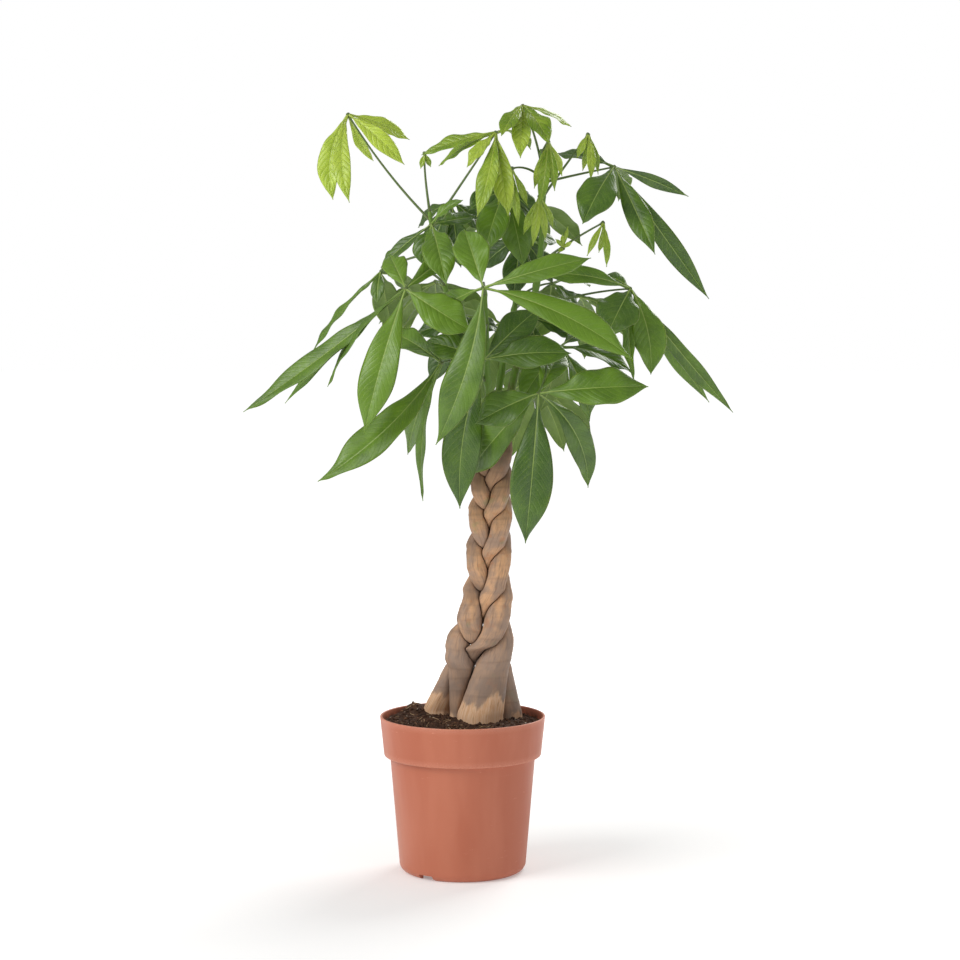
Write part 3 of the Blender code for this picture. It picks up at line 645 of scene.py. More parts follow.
@dataclass(frozen=True)
class ShootFinish:
    """Green skin of a shoot or stalk, browner low down where it turns woody.

    Its meshes carry: skin, the place on the unrolled skin, and age, 1 where it is oldest.
    """

    name: str
    fresh: tuple
    old: tuple
    speck: tuple = srgb(150, 150, 90)

    def make(self) -> Material:
        """Builds the material."""
        w = Wiring(self.name)
        skin_place = w.mark("skin", "Vector")
        streaks = w.noise(w.scaled(skin_place, (1.0, 1.0, 0.08)), 900.0, 3.0)
        blotch = w.noise(skin_place, 120.0, 3.0)
        age = w.math("ADD", w.mark("age"), w.between(blotch, 0.3, 0.7, -0.25, 0.25))
        body = w.blend(w.between(age, 0.2, 0.9), self.fresh, self.old)
        body = w.over(body, streaks, 0.5, 0.75, 0.4, self.old)
        specks = w.cells(w.scaled(skin_place, (1.0, 1.0, 0.45)), 520.0, "F1")
        body = w.blend(w.between(specks, 0.08, 0.20, 0.6, 0.0), body, self.speck)
        w.set(Base_Color=body, Roughness=w.between(streaks, 0.3, 0.7, 0.42, 0.58),
              Normal=w.bumped(streaks, 0.0002, 0.4), Subsurface_Weight=0.15,
              Subsurface_Radius=(0.8, 1.0, 0.3), Subsurface_Scale=0.0015)
        return w.material


@dataclass(frozen=True)
class SoilFinish:
    """Damp, crumbly potting mix, or one of the bits in it.

    Its meshes carry tone, 0 to 1, which shifts the colour from bit to bit.
    """

    name: str
    dark: tuple
    light: tuple

    def make(self) -> Material:
        """Builds the material."""
        w = Wiring(self.name)
        places = w.places()
        crumbs = w.noise(places, 620.0, 5.0, 0.65)
        patch = w.noise(places, 60.0, 3.0)
        share = w.math("ADD", w.between(crumbs, 0.35, 0.70, 0.0, 0.6),
                       w.math("MULTIPLY", w.mark("tone"), 0.5))
        body = w.blend(w.math("MULTIPLY", share, w.between(patch, 0.3, 0.7, 0.6, 1.0)),
                       self.dark, self.light)
        relief = w.bumped(crumbs, 0.0010, 0.9, w.bumped(w.cells(places, 480.0), 0.0008, 0.6))
        roughness = w.between(crumbs, 0.3, 0.7, 0.95, 0.75)
        w.set(Base_Color=body, Roughness=roughness, Normal=relief, Specular_IOR_Level=0.3)
        return w.material


@dataclass(frozen=True)
class PotFinish:
    """Satin terracotta-coloured plastic, thin scuffs and dust, soil stains inside the rim.

    Its mesh carries: inside, 1 on the inner wall; edge, 1 on the rim's lip and the collar's edge,
    which are painted paler, as worn plastic and on the rim's lip also as a painted highlight.
    """

    name: str = "terracotta_plastic_satin"
    body: tuple = srgb(190, 112, 84)
    deep: tuple = srgb(180, 100, 72)
    worn_and_highlight: tuple = srgb(222, 158, 134)
    stain: tuple = srgb(92, 62, 46)

    def make(self) -> Material:
        """Builds the material."""
        w = Wiring(self.name)
        places = w.places()
        flow = w.noise(w.scaled(places, (1.0, 1.0, 0.25)), 24.0, 3.0)
        grain = w.noise(places, 900.0, 3.0)
        colour = w.blend(w.between(flow, 0.3, 0.7), self.body, self.deep)
        scuff = w.noise(w.scaled(places, (1.0, 1.0, 5.0)), 70.0, 5.0, 0.7)
        scuffs = w.math("MULTIPLY", w.between(scuff, 0.63, 0.72), w.between(grain, 0.45, 0.6))
        colour = w.blend(w.math("MULTIPLY", scuffs, 0.55), colour, self.worn_and_highlight)
        # Paler rim and collar edges: worn plastic, and on the rim's lip a painted highlight.
        rubbed_and_highlit = w.math("MULTIPLY", w.mark("edge"), w.between(grain, 0.3, 0.6, 0.15, 0.6))
        colour = w.blend(rubbed_and_highlit, colour, self.worn_and_highlight)
        splashes = w.between(w.noise(places, 95.0, 4.0), 0.35, 0.6)
        dirt = w.math("MULTIPLY", w.mark("inside"), splashes)
        colour = w.blend(w.math("MULTIPLY", dirt, 0.75), colour, self.stain)
        gloss = w.math("ADD", w.between(flow, 0.3, 0.7, 0.40, 0.50),
                       w.math("MULTIPLY", scuffs, 0.2))
        relief = w.bumped(grain, 0.00012, 0.35, w.bumped(flow, 0.0012, 0.25))
        w.set(Base_Color=colour, Roughness=gloss, Normal=relief, Specular_IOR_Level=0.45,
              Subsurface_Weight=0.06, Subsurface_Radius=(1.0, 0.5, 0.35), Subsurface_Scale=0.004)
        return w.material


@dataclass(frozen=True)
class FloorFinish:
    """Pale matt floor that glows softly away from the pot, so that it runs into the backdrop."""

    name: str = "pale_floor"
    pale: tuple = (0.80, 0.80, 0.80, 1.0)
    paler: tuple = (0.82, 0.82, 0.82, 1.0)
    glow: tuple = (1.0, 1.0, 1.0, 1.0)

    def make(self) -> Material:
        """Builds the material."""
        w = Wiring(self.name)
        places = w.places()
        away = w.math("MULTIPLY", w.length(places), 0.5)
        body = w.blend(w.noise(places, 1.5, 3.0), self.pale, self.paler)
        w.set(Base_Color=body, Roughness=0.8, Specular_IOR_Level=0.2, Emission_Color=self.glow,
              Emission_Strength=w.between(away, 0.06, 0.8, 0.25, 0.75))
        return w.material


# ---------------------------------------------------------------- trunk


@dataclass(frozen=True)
class Stem:
    """A woody stem: its turn in the plait, its foot in the soil and where it was cut off."""

    name: str
    phase: float
    foot: tuple
    foot_radius: float
    top_z: float


@dataclass(frozen=True)
class Plait:
    """The four stems and the rule that winds them round each other, bare lengths in metres."""

    axis_z: tuple = (0.153, 0.243, 0.283, 0.453)
    axis_x: tuple = (0.014, 0.018, 0.0255, 0.031)
    axis_y: tuple = (0.016, 0.0016, 0.0, 0.0)
    width_z: tuple = (0.203, 0.253, 0.303, 0.443)
    half_widths: tuple = (0.0132, 0.0130, 0.0126, 0.0112)
    radii: tuple = (0.0155, 0.0142, 0.0113, 0.0096)
    depth: float = 0.0075
    right_share: float = 0.625
    lag: float = 0.20
    depth_lag: float = 1.25
    quarter_turn: float = 0.062
    shrink: float = 0.150
    low_z: float = 0.203
    first_crossing_z: float = 0.210
    loose_z: tuple = (0.243, 0.278)
    looseness: float = 0.60
    press: float = 0.50
    press_step: float = 0.4
    press_rounds: int = 12
    spread_z: tuple = (0.161, 0.241)
    spread_power: float = 1.1
    swelling_lift: float = 0.004
    section_power: int = 9
    contact_gap: float = 0.0004
    least_reach: float = 0.002
    least_facing: float = 1e-3
    stems: tuple = (
        Stem("stem_back_left", 0.0, (-0.026, 0.038), 0.016, 0.450),
        Stem("stem_front_left", -0.5 * math.pi, (0.000, 0.020), 0.0135, 0.451),
        Stem("stem_front_right", 0.5 * math.pi, (0.018, 0.002), 0.0238, 0.449),
        Stem("stem_back_right", math.pi, (0.046, 0.026), 0.0155, 0.450),
    )

    def spread(self, z: float) -> float:
        """How far the stems have left the plait: 0 in the plait, 1 at their feet."""
        low, high = self.spread_z
        share = min(max((high - z) / (high - low), 0.0), 1.0)
        return share ** self.spread_power

    def turn(self, z: float) -> float:
        """Angle that the plait has turned through since its first crossing."""
        here = self.quarter_turn - self.shrink * (max(z, self.first_crossing_z) - self.low_z)
        first = self.quarter_turn - self.shrink * (self.first_crossing_z - self.low_z)
        return 0.5 * math.pi / self.shrink * math.log(first / here)

    def place(self, stem: Stem, z: float) -> Array:
        """Where the plait takes a stem at a height, before the stems press each other apart.

        A stem comes to the front at the crossing, goes out over its neighbours to one side and
        comes back behind them. It spends more of its turn on the right than on the left.

        Args:
            stem: Which one.
            z: The height.

        Returns:
            The place, as (x, y).
        """
        turns = (self.turn(z) + stem.phase) / (2 * math.pi) % 1.0
        is_right = turns < self.right_share
        share = self.right_share if is_right else 1 - self.right_share
        along = (turns if is_right else turns - self.right_share) / share
        swing = math.pi * (along - self.lag * along * (1 - along))
        half_width = np.interp(z, self.width_z, self.half_widths)
        half_width *= 1 + self.looseness * np.interp(z, self.loose_z, (1, 0))
        out = 2 * share * math.sin(swing) * (1 if is_right else -1)
        in_plait = np.array((
            np.interp(z, self.axis_z, self.axis_x) + half_width * (1 - 2 * self.right_share + out),
            np.interp(z, self.axis_z, self.axis_y)
            - self.depth * 2 * share * math.sin(2 * math.pi * along ** self.depth_lag)))
        spread = self.spread(z)
        return (1 - spread) * in_plait + spread * np.array(stem.foot)

    def radius(self, stem: Stem, z: float) -> float:
        """Radius of a stem at a height, swollen at its foot."""
        swelling = self.spread(z - self.swelling_lift)
        return (1 - swelling) * np.interp(z, self.width_z, self.radii) + swelling * stem.foot_radius

    @lru_cache(maxsize=None)
    def centres(self, z: float) -> Array:
        """Centres of all the stems at a height, pressed apart where they crowd each other."""
        centres = np.array([self.place(stem, z) for stem in self.stems])
        radii = [self.radius(stem, z) for stem in self.stems]
        for _ in range(self.press_rounds):
            for i in range(len(self.stems)):
                for j in range(i):
                    apart = centres[i] - centres[j]
                    distance = np.linalg.norm(apart)
                    short = max(self.press * (radii[i] + radii[j]) - distance, 0.0)
                    centres[i] += self.press_step * short * apart / distance
                    centres[j] -= self.press_step * short * apart / distance
        return centres

    def centre(self, stem: Stem, z: float) -> Array:
        """Centre of a stem at a height, as (x, y)."""
        return self.centres(float(z))[self.stems.index(stem)]

    def section(self, stem: Stem, z: float, angles: Array) -> Array:
        """How far a stem reaches from its centre, pressed flat by its neighbours.

        Args:
            stem: Which one.
            z: The height.
            angles: The directions that are asked about.

        Returns:
            The reach in each direction.
        """
        radius, centre = self.radius(stem, z), self.centre(stem, z)
        rays = np.stack((np.cos(angles), np.sin(angles)), axis=1)
        crowding = radius ** -self.section_power * np.ones(len(angles))
        for other in self.stems:
            if other is stem:
                continue
            apart = self.centre(other, z) - centre
            distance = np.linalg.norm(apart)
            reach = (distance ** 2 + radius ** 2 - self.radius(other, z) ** 2) / (2 * distance)
            facing = np.maximum(rays @ (apart / distance), self.least_facing)
            flat = max(reach, self.least_reach) - self.contact_gap / 2
            crowding += (flat / facing) ** -self.section_power
        return crowding ** (-1 / self.section_power)


FIBRE_TOPS = {"stem_back_left": 0.184, "stem_front_right": 0.180}
USUAL_FIBRE_TOP = 0.160


@dataclass
class Trunk:
    """The four stems' bark, with its rings, wrinkles and fibrous feet, and a dead stub on top."""

    plait: Plait
    finish: BarkFinish = field(default_factory=BarkFinish)
    buried_z: tuple = (0.103, 0.125)
    bare_from_z: float = 0.150
    ring_step: float = 0.0012
    columns: int = 60
    first_scar_z: float = 0.170
    scar_spacing: tuple = (0.011, 0.024)
    scar_width: float = 0.0009
    scar_tilt: float = 0.0022
    lump_scale: tuple = (140, 140, 60)
    lump_height: float = 0.00045
    wrinkle_scale: tuple = (620, 620, 90)
    wrinkle_height: float = 0.00016
    thread_scale: tuple = (900, 900, 45)
    thread_height: float = 0.00035
    fibre_fade: tuple = (0.014, 0.010)
    fibre_raggedness: float = 0.007
    scar_height: float = 0.00035
    edge_round: float = 0.0018
    stub_foot: tuple = (0.0048, -0.003, -0.004)
    stub_lean: tuple = ((0.0, 0.0, 0.0), (0.0008, -0.0004, 0.007), (0.0022, -0.001, 0.0145))
    stub_radii: tuple = (0.0030, 0.0024, 0.0020, 0.0012)
    stub_rows: int = 24
    stub_relief: float = 0.0003
    seed: int = 41

    def fibre_share(self, stem: Stem, z: Array, angles: Array) -> Array:
        """How much of a foot is bare cream fibre, which reaches highest on two of them.

        Args:
            stem: Which one.
            z: Height of each point.
            angles: Where each point is round the stem.

        Returns:
            The share at each point, 0 to 1.
        """
        top = FIBRE_TOPS.get(stem.name, USUAL_FIBRE_TOP)
        ring = np.stack((3 * np.cos(angles), 3 * np.sin(angles), 0 * angles), axis=-1)
        ragged = self.fibre_raggedness * value_noise(ring, self.seed)
        below, above = self.fibre_fade
        return 1 - smoothstep(top - below, top + above, z + ragged)

    def scars(self, stem: Stem, z: Array, angles: Array) -> Array:
        """Rings of old leaf scars at uneven heights, each tilted its own way.

        Args:
            stem: Which one.
            z: Height of each point.
            angles: Where each point is round the stem.

        Returns:
            How much of a ring each point is, 0 to 1.
        """
        rng = np.random.default_rng(self.seed + self.plait.stems.index(stem))
        total = np.zeros(z.shape)
        height = self.first_scar_z + rng.uniform(0, 0.02)
        while height < stem.top_z:
            tilt, turn, strength = (rng.uniform(*span)
                                    for span in ((0, self.scar_tilt), (0, 6.3), (0.4, 1)))
            offset = z - height - tilt * np.cos(angles - turn)
            total = np.maximum(total, strength * np.exp(-(offset / self.scar_width) ** 2))
            height += rng.uniform(*self.scar_spacing)
        return total

    def bark(self, stem: Stem, material: Material) -> Piece:
        """Makes one stem.

        Args:
            stem: Which one.
            material: The bark.

        Returns:
            The piece.
        """
        bare = np.arange(self.bare_from_z, stem.top_z, self.ring_step)
        heights = np.concatenate((self.buried_z, bare, (stem.top_z,)))
        angle = np.linspace(0, 2 * math.pi, self.columns + 1)
        reach = np.array([self.plait.section(stem, z, angle) for z in heights])
        centre = np.array([self.plait.centre(stem, z) for z in heights])
        radii = np.array([self.plait.radius(stem, z) for z in heights])
        free = radii[:, None] * np.ones_like(angle)
        z = heights[:, None] * np.ones_like(angle)
        angles = angle * np.ones_like(z)
        skin_place = np.stack((free * np.cos(angles), free * np.sin(angles), z), axis=-1)
        seed = self.seed + 10 * self.plait.stems.index(stem)
        lumps = rough_noise(skin_place * self.lump_scale, seed)
        wrinkles = rough_noise(skin_place * self.wrinkle_scale, seed + 3, 2)
        fibre = self.fibre_share(stem, z, angles)
        threads = rough_noise(skin_place * self.thread_scale, seed + 5, 2)
        scar = self.scars(stem, z, angles)
        pressed = smoothstep(0.02, 0.30, 1 - reach / free)
        relief = self.lump_height * lumps + self.wrinkle_height * wrinkles
        relief += self.thread_height * fibre * threads
        relief += self.scar_height * scar * (1 - fibre)
        reach = reach + relief * (1 - 0.7 * pressed)
        reach = reach * (1 - 0.10 * smoothstep(stem.top_z - self.edge_round, stem.top_z, z))
        loops = np.stack((centre[:, :1] + reach * np.cos(angles),
                          centre[:, 1:] + reach * np.sin(angles), z), axis=-1)
        # The groove mark says where painted shade darkens the bark between pressed stems.
        loops, marks = self.closed(loops, {
            "skin": skin_place, "fibre": fibre, "scar": scar * (1 - fibre),
            "groove": smoothstep(0.05, 0.32, 1 - reach / free), "cut": np.zeros_like(z)})
        marks["cut"][-3:] = 1.0
        return adopt(skin(f"{stem.name}_bark", loops, marks), Slot.BARK, material, stem.name)

    @staticmethod
    def closed(loops: Array, marks: dict) -> tuple[Array, dict]:
        """Closes loops at both ends, at the top by way of a smaller loop.

        Args:
            loops: Loops of points.
            marks: Values for each point.

        Returns:
            The loops and the values with the ends added.
        """
        first, last = loops[0].mean(0), loops[-1].mean(0)
        inner = last + 0.5 * (loops[-1] - last)
        loops = np.concatenate((first + 0 * loops[:1], loops, inner[None], last + 0 * loops[:1]))
        marks = {name: np.concatenate((values[:1], values, values[-1:], values[-1:]))
                 for name, values in marks.items()}
        return loops, marks

    def stub(self, material: Material) -> Piece:
        """Makes the dead, dried-out end beside the cut of the stem that ends furthest right."""
        stem = self.plait.stems[1]
        foot = np.append(self.plait.centre(stem, stem.top_z), stem.top_z) + self.stub_foot
        line = resampled(smooth_line(foot + np.array(self.stub_lean), 8), self.stub_rows)
        along = np.linspace(0, 1, self.stub_rows)
        radii = np.interp(along, (0, 0.3, 0.8, 1), self.stub_radii)
        loops, place = tube_rows(line, radii, 14)
        loops = loops + self.stub_relief * value_noise(loops * 500, self.seed)[..., None]
        zero = np.zeros(loops.shape[:2])
        marks = {"skin": place, "fibre": zero + 1, "scar": zero, "groove": zero, "cut": zero}
        return adopt(skin("dead_stub", loops, marks), Slot.BARK, material)

    def build(self) -> None:
        """Makes every stem and the stub."""
        material = self.finish.make()
        for stem in self.plait.stems:
            self.bark(stem, material)
        self.stub(material)


# ---------------------------------------------------------------- crown


@dataclass(frozen=True)
class Shoot:
    """A green shoot on a stem's cut top: the points of its axis and its radii, in mm."""

    name: str
    stem: str
    route: tuple
    base_radius: float
    tip_radius: float


@dataclass(frozen=True)
class Blade:
    """One leaflet: its tip from the knuckle and its width, in mm, then how it bows and turns."""

    tip: tuple
    width: float
    arch: float = 0.10
    sway: float = 0.0
    roll: float = 0.0


@dataclass(frozen=True)
class Leaf:
    """A leaf on a long stalk. It leaves the shoot at a height, in mm, and holds its blades out."""

    name: str
    shoot: str
    height: float
    bend: tuple
    hub: tuple
    facing: tuple
    blades: tuple


SHOOTS = (
    Shoot("shoot_main", "stem_front_left",
          ((47, -2, 483), (56, 6, 523), (70, 13, 573), (79, 14, 628), (82, 12, 683), (81, 8, 741)),
          4.6, 2.2),
    Shoot("shoot_left", "stem_front_right",
          ((13, -5, 481), (4, 0, 523), (-12, 4, 578), (-24, 2, 628), (-30, -3, 655),
           (-33, -6, 677)), 4.4, 1.6),
    Shoot("shoot_front", "stem_back_right",
          ((27, -6, 483), (25, -20, 518), (24, -30, 563), (22, -34, 599)), 4.0, 2.4),
    Shoot("shoot_back", "stem_back_left",
          ((36, 14, 483), (42, 30, 523), (52, 46, 573), (66, 60, 633)), 4.2, 2.2),
)

LEAVES = (
    Leaf("leaf_top_left", "shoot_left", 668, (-2, 0, -4), (-117, 20, 777), (-0.2, -0.8, 0.5), (
        Blade((-14, -25, -88), 26, 0.04, 0.10), Blade((4, -50, -92), 19, 0.04, 0.06),
        Blade((25, 20, -46), 13, 0.08, 0, 40), Blade((58, -15, -52), 20, 0.10),
        Blade((62, 25, -24), 18, 0.08))),
    Leaf("leaf_top_middle", "shoot_left", 661, (0, 0, 0), (34, -30, 755), (-0.3, -0.6, 0.7), (
        Blade((-75, 10, -22), 22, 0.05), Blade((-58, 40, -31), 18, 0.06),
        Blade((-29, -20, -36), 18, 0.05), Blade((-19, -45, -86), 24, 0.03, -0.04),
        Blade((12, -30, -83), 24, 0.03), Blade((36, 60, -13), 22, 0.12))),
    Leaf("leaf_bud_left", "shoot_left", 674, (-2, 0, 6), (-38, -8, 736), (0, -0.9, 0.3), (
        Blade((-4, -4, -16), 6, 0.02), Blade((6, 3, -14), 6, 0.02))),
    Leaf("leaf_crest", "shoot_main", 719, (2, 5, 3), (61, 0, 784), (0, -0.4, 0.9), (
        Blade((-22, -48, -34), 20, 0.06), Blade((-3, -50, -56), 20, 0.06),
        Blade((26, -32, -40), 26, 0.08), Blade((50, 15, -20), 22, 0.06),
        Blade((-8, 55, -22), 18, 0.12))),
    Leaf("leaf_young_middle", "shoot_main", 736, (0, -2, 2), (87, -10, 747), (0.1, -0.8, 0.5), (
        Blade((6, -12, -50), 10), Blade((14, 8, -34), 9), Blade((-9, -16, -66), 12),
        Blade((-14, 14, -46), 10))),
    Leaf("leaf_young_side", "shoot_main", 711, (0, 0, 5), (50, -12, 720), (-0.1, -0.8, 0.5), (
        Blade((-4, -4, -48), 12), Blade((7, -2, -58), 9), Blade((-14, 8, -36), 9),
        Blade((16, 14, -36), 8))),
    Leaf("leaf_young_low", "shoot_main", 672, (0, 0, 3), (78, -16, 692), (0.1, -0.8, 0.5), (
        Blade((-7, -6, -50), 9), Blade((6, 2, -44), 8), Blade((-16, 8, -38), 9),
        Blade((14, 16, -32), 7))),
    Leaf("leaf_young_right", "shoot_main", 693, (0, -6, 0), (128, 10, 756), (0.2, -0.6, 0.7), (
        Blade((-12, -12, -25), 8), Blade((2, -15, -47), 10), Blade((10, -4, -41), 8),
        Blade((-5, 14, -36), 8))),
    Leaf("leaf_upper_right", "shoot_main", 707, (0, 10, 1), (155, 10, 723), (0.1, -0.6, 0.75), (
        Blade((-35, -60, -60), 40, 0.08), Blade((38, -50, -90), 26, 0.04, 0, 20),
        Blade((98, 10, -134), 22, 0.03, 0, 50), Blade((79, 40, -28), 14, -0.06, 0, 78),
        Blade((-61, 60, 17), 24, 0.05), Blade((10, 100, -30), 26))),
    Leaf("leaf_bud_right", "shoot_main", 625, (0, 0, 2), (143, -5, 666), (0.2, -0.6, 0.7), (
        Blade((-17, -12, -34), 7), Blade((3, -8, -45), 8), Blade((-4, 12, -30), 7))),
    Leaf("leaf_bud_small", "shoot_main", 609, (0, 0, 2), (102, -14, 640), (0.1, -0.9, 0.4), (
        Blade((-8, -4, 9), 5), Blade((-1, 0, 14), 5), Blade((5, 4, 22), 4),
        Blade((9, -4, 6), 5), Blade((-5, -8, -4), 5))),
    Leaf("leaf_lower_right", "shoot_main", 578, (0, -5, 4), (170, -20, 599), (0.1, -0.75, 0.6), (
        Blade((-99, -10, 14), 26, 0.10), Blade((-30, 40, 11), 22, 0.12),
        Blade((-26, -40, -47), 46, 0.08), Blade((2, -30, -92), 20, 0.04, 0, 65),
        Blade((19, -25, -86), 36, 0.06, -0.06), Blade((107, 25, -126), 19, 0.03, 0, 60),
        Blade((86, 60, -117), 18, 0.03, 0, 60))),
    Leaf("leaf_front", "shoot_front", 593, (0, -10, 8), (21, -115, 599), (-0.05, -0.85, 0.5), (
        Blade((-19, 45, 58), 37, 0.06), Blade((105, 10, 29), 28, 0.10, 0.04),
        Blade((145, -20, -70), 35, 0.04, -0.05), Blade((-46, -10, -152), 38, 0.06, -0.06),
        Blade((-60, 80, -36), 30, 0.06))),
    Leaf("leaf_front_left", "shoot_left", 603, (0, -10, 14), (-55, -90, 598), (-0.1, -0.85, 0.5), (
        Blade((66, -15, -42), 42, 0.08, 0.04), Blade((46, 60, 35), 22, 0.04),
        Blade((-18, 60, 35), 26, 0.06), Blade((-40, -30, -141), 38, 0.06),
        Blade((-77, 0, -96), 24, 0.08, 0, 50), Blade((-161, 10, -121), 30, -0.02, 0, 20),
        Blade((-123, 50, -114), 26, 0.03, 0, 30))),
    Leaf("leaf_left", "shoot_left", 635, (0, 0, 4), (-84, 30, 617), (-0.2, -0.3, 0.9), (
        Blade((-73, 10, -85), 24, 0.04), Blade((-3, -20, -33), 16), Blade((23, 10, 28), 18),
        Blade((10, 70, -66), 30), Blade((40, 62, -35), 28))),
    Leaf("leaf_upper_left", "shoot_left", 647, (0, 0, 2), (-31, -25, 663), (-0.1, -0.6, 0.75), (
        Blade((32, -15, 24), 18), Blade((49, 34, 10), 26, 0.02), Blade((-6, -12, -43), 30),
        Blade((-51, 0, -43), 18, 0.04), Blade((16, -70, -61), 34))),
    Leaf("leaf_low_left", "shoot_front", 503, (0, 0, 10), (-21, -60, 525), (-0.2, -0.8, 0.55), (
        Blade((-120, -45, -115), 40, 0.04, -0.09), Blade((-18, 0, -138), 20, 0.04, 0.06, 45),
        Blade((-7, 20, 18), 14), Blade((-35, 60, -95), 30, 0.06), Blade((-54, 75, 29), 28))),
    Leaf("leaf_low_right", "shoot_main", 551, (14, -14, 10), (75, -105, 496), (0.1, -0.85, 0.5), (
        Blade((107, -5, 7), 43, 0.08, 0.02), Blade((-13, -20, -145), 43, 0.06),
        Blade((-62, -10, -29), 40, 0.08), Blade((51, 50, -96), 31, 0.06, -0.10),
        Blade((-70, 55, -84), 40, 0.08), Blade((24, 60, 40), 30, 0.08))),
    Leaf("leaf_centre", "shoot_front", 563, (0, 0, 6), (22, -70, 528), (0, -0.85, 0.5), (
        Blade((86, -10, 7), 38, 0.08), Blade((56, 20, 52), 34, 0.06),
        Blade((-24, -10, -147), 40, 0.06, 0.05), Blade((-59, 20, 18), 34, 0.08),
        Blade((-45, 50, 50), 30, 0.08))),
    Leaf("leaf_high_centre", "shoot_main", 658, (0, 4, 4), (44, 30, 700), (0, -0.8, 0.6), (
        Blade((-22, -55, -66), 34), Blade((18, -22, -78), 34), Blade((-38, -15, -21), 28),
        Blade((31, 10, -25), 28), Blade((11, 60, -34), 30))),
    Leaf("leaf_right_centre", "shoot_back", 588, (0, 0, 4), (92, 20, 605), (0.2, -0.5, 0.85), (
        Blade((27, 4, -31), 26), Blade((-6, 40, -34), 24), Blade((41, 50, -3), 26),
        Blade((22, 75, -50), 30), Blade((-14, 70, -44), 28))),
    Leaf("leaf_right_low", "shoot_back", 533, (0, 0, 6), (100, 10, 540), (0.3, -0.5, 0.8), (
        Blade((74, -25, -28), 30), Blade((30, -10, -76), 34), Blade((-41, -20, -56), 34),
        Blade((45, 80, 15), 30), Blade((-19, 70, -70), 30))),
    Leaf("leaf_inner_left", "shoot_left", 620, (0, 0, 4), (-11, 48, 688), (-0.2, -0.7, 0.6), (
        Blade((-24, 12, -56), 30, 0.06), Blade((9, 14, -66), 30, 0.06), Blade((-36, 38, -24), 22),
        Blade((30, 22, -26), 24))),
    Leaf("leaf_inner_middle", "shoot_main", 603, (0, 0, 4), (60, 56, 654), (0.1, -0.7, 0.6), (
        Blade((-42, 10, -33), 30, 0.06), Blade((-8, -18, -64), 30, 0.06),
        Blade((34, 14, -48), 30, 0.06), Blade((38, 28, -6), 24), Blade((-29, 30, 8), 24))),
    Leaf("leaf_inner_low", "shoot_left", 549, (0, 0, 4), (-1, 52, 565), (-0.1, -0.7, 0.6), (
        Blade((-50, 8, -13), 28, 0.06), Blade((-33, 4, -65), 28, 0.06),
        Blade((23, 10, -54), 28, 0.06), Blade((40, 24, -9), 24))),
    Leaf("leaf_inner_right", "shoot_main", 558, (0, 0, 4), (71, 49, 569), (0.1, -0.7, 0.6), (
        Blade((-16, -12, -55), 25, 0.06), Blade((8, -8, -57), 22, 0.06), Blade((46, 8, -20), 24))),
    Leaf("leaf_back_high", "shoot_back", 623, (0, 10, 14), (60, 130, 693), (0.1, 0.5, 0.85), (
        Blade((-70, 20, -40), 32), Blade((-40, 90, -50), 36), Blade((25, 100, -60), 38),
        Blade((70, 60, -45), 34), Blade((40, -20, -30), 26))),
    Leaf("leaf_back_left", "shoot_left", 563, (0, 20, 14), (-30, 125, 608), (-0.3, 0.6, 0.75), (
        Blade((-60, 50, -70), 34), Blade((-40, 100, -60), 36), Blade((10, 110, -60), 38),
        Blade((60, 60, -50), 32), Blade((-60, -10, -45), 28))),
    Leaf("leaf_back_right", "shoot_back", 578, (0, 20, 12), (125, 130, 593), (0.4, 0.6, 0.75), (
        Blade((90, -10, -60), 32), Blade((80, 70, -70), 36), Blade((10, 110, -70), 38),
        Blade((-60, 60, -50), 32), Blade((50, -60, -40), 28))),
    Leaf("leaf_back_middle", "shoot_back", 548, (0, 20, 10), (40, 150, 563), (0, 0.7, 0.7), (
        Blade((-80, 30, -60), 34), Blade((-30, 60, -110), 36), Blade((30, 60, -110), 36),
        Blade((80, 30, -70), 34), Blade((-50, -10, 20), 26))),
    Leaf("leaf_back_low", "shoot_back", 508, (0, 10, 10), (70, 100, 503), (0.2, 0.6, 0.75), (
        Blade((70, 10, -70), 32), Blade((40, 70, -80), 36), Blade((-20, 80, -90), 36),
        Blade((-70, 30, -60), 30))),
)

YOUNG_LEAVES = ("leaf_top_left", "leaf_top_middle", "leaf_crest", "leaf_young_middle",
                "leaf_young_side", "leaf_young_low", "leaf_young_right", "leaf_bud_left",
                "leaf_bud_right", "leaf_bud_small")

# Painted light and shade: leaves in the light are made paler, the inner and back leaves darker.
PAINTED_LIGHT_SHIFTS = {"leaf_top_left": 0.7, "leaf_front": 0.45, "leaf_low_left": 0.3,
               "leaf_inner": -0.35, "leaf_back": -0.2, "leaf_centre": -0.05}
USUAL_PAINTED_LIGHT_SHIFT = 0.1


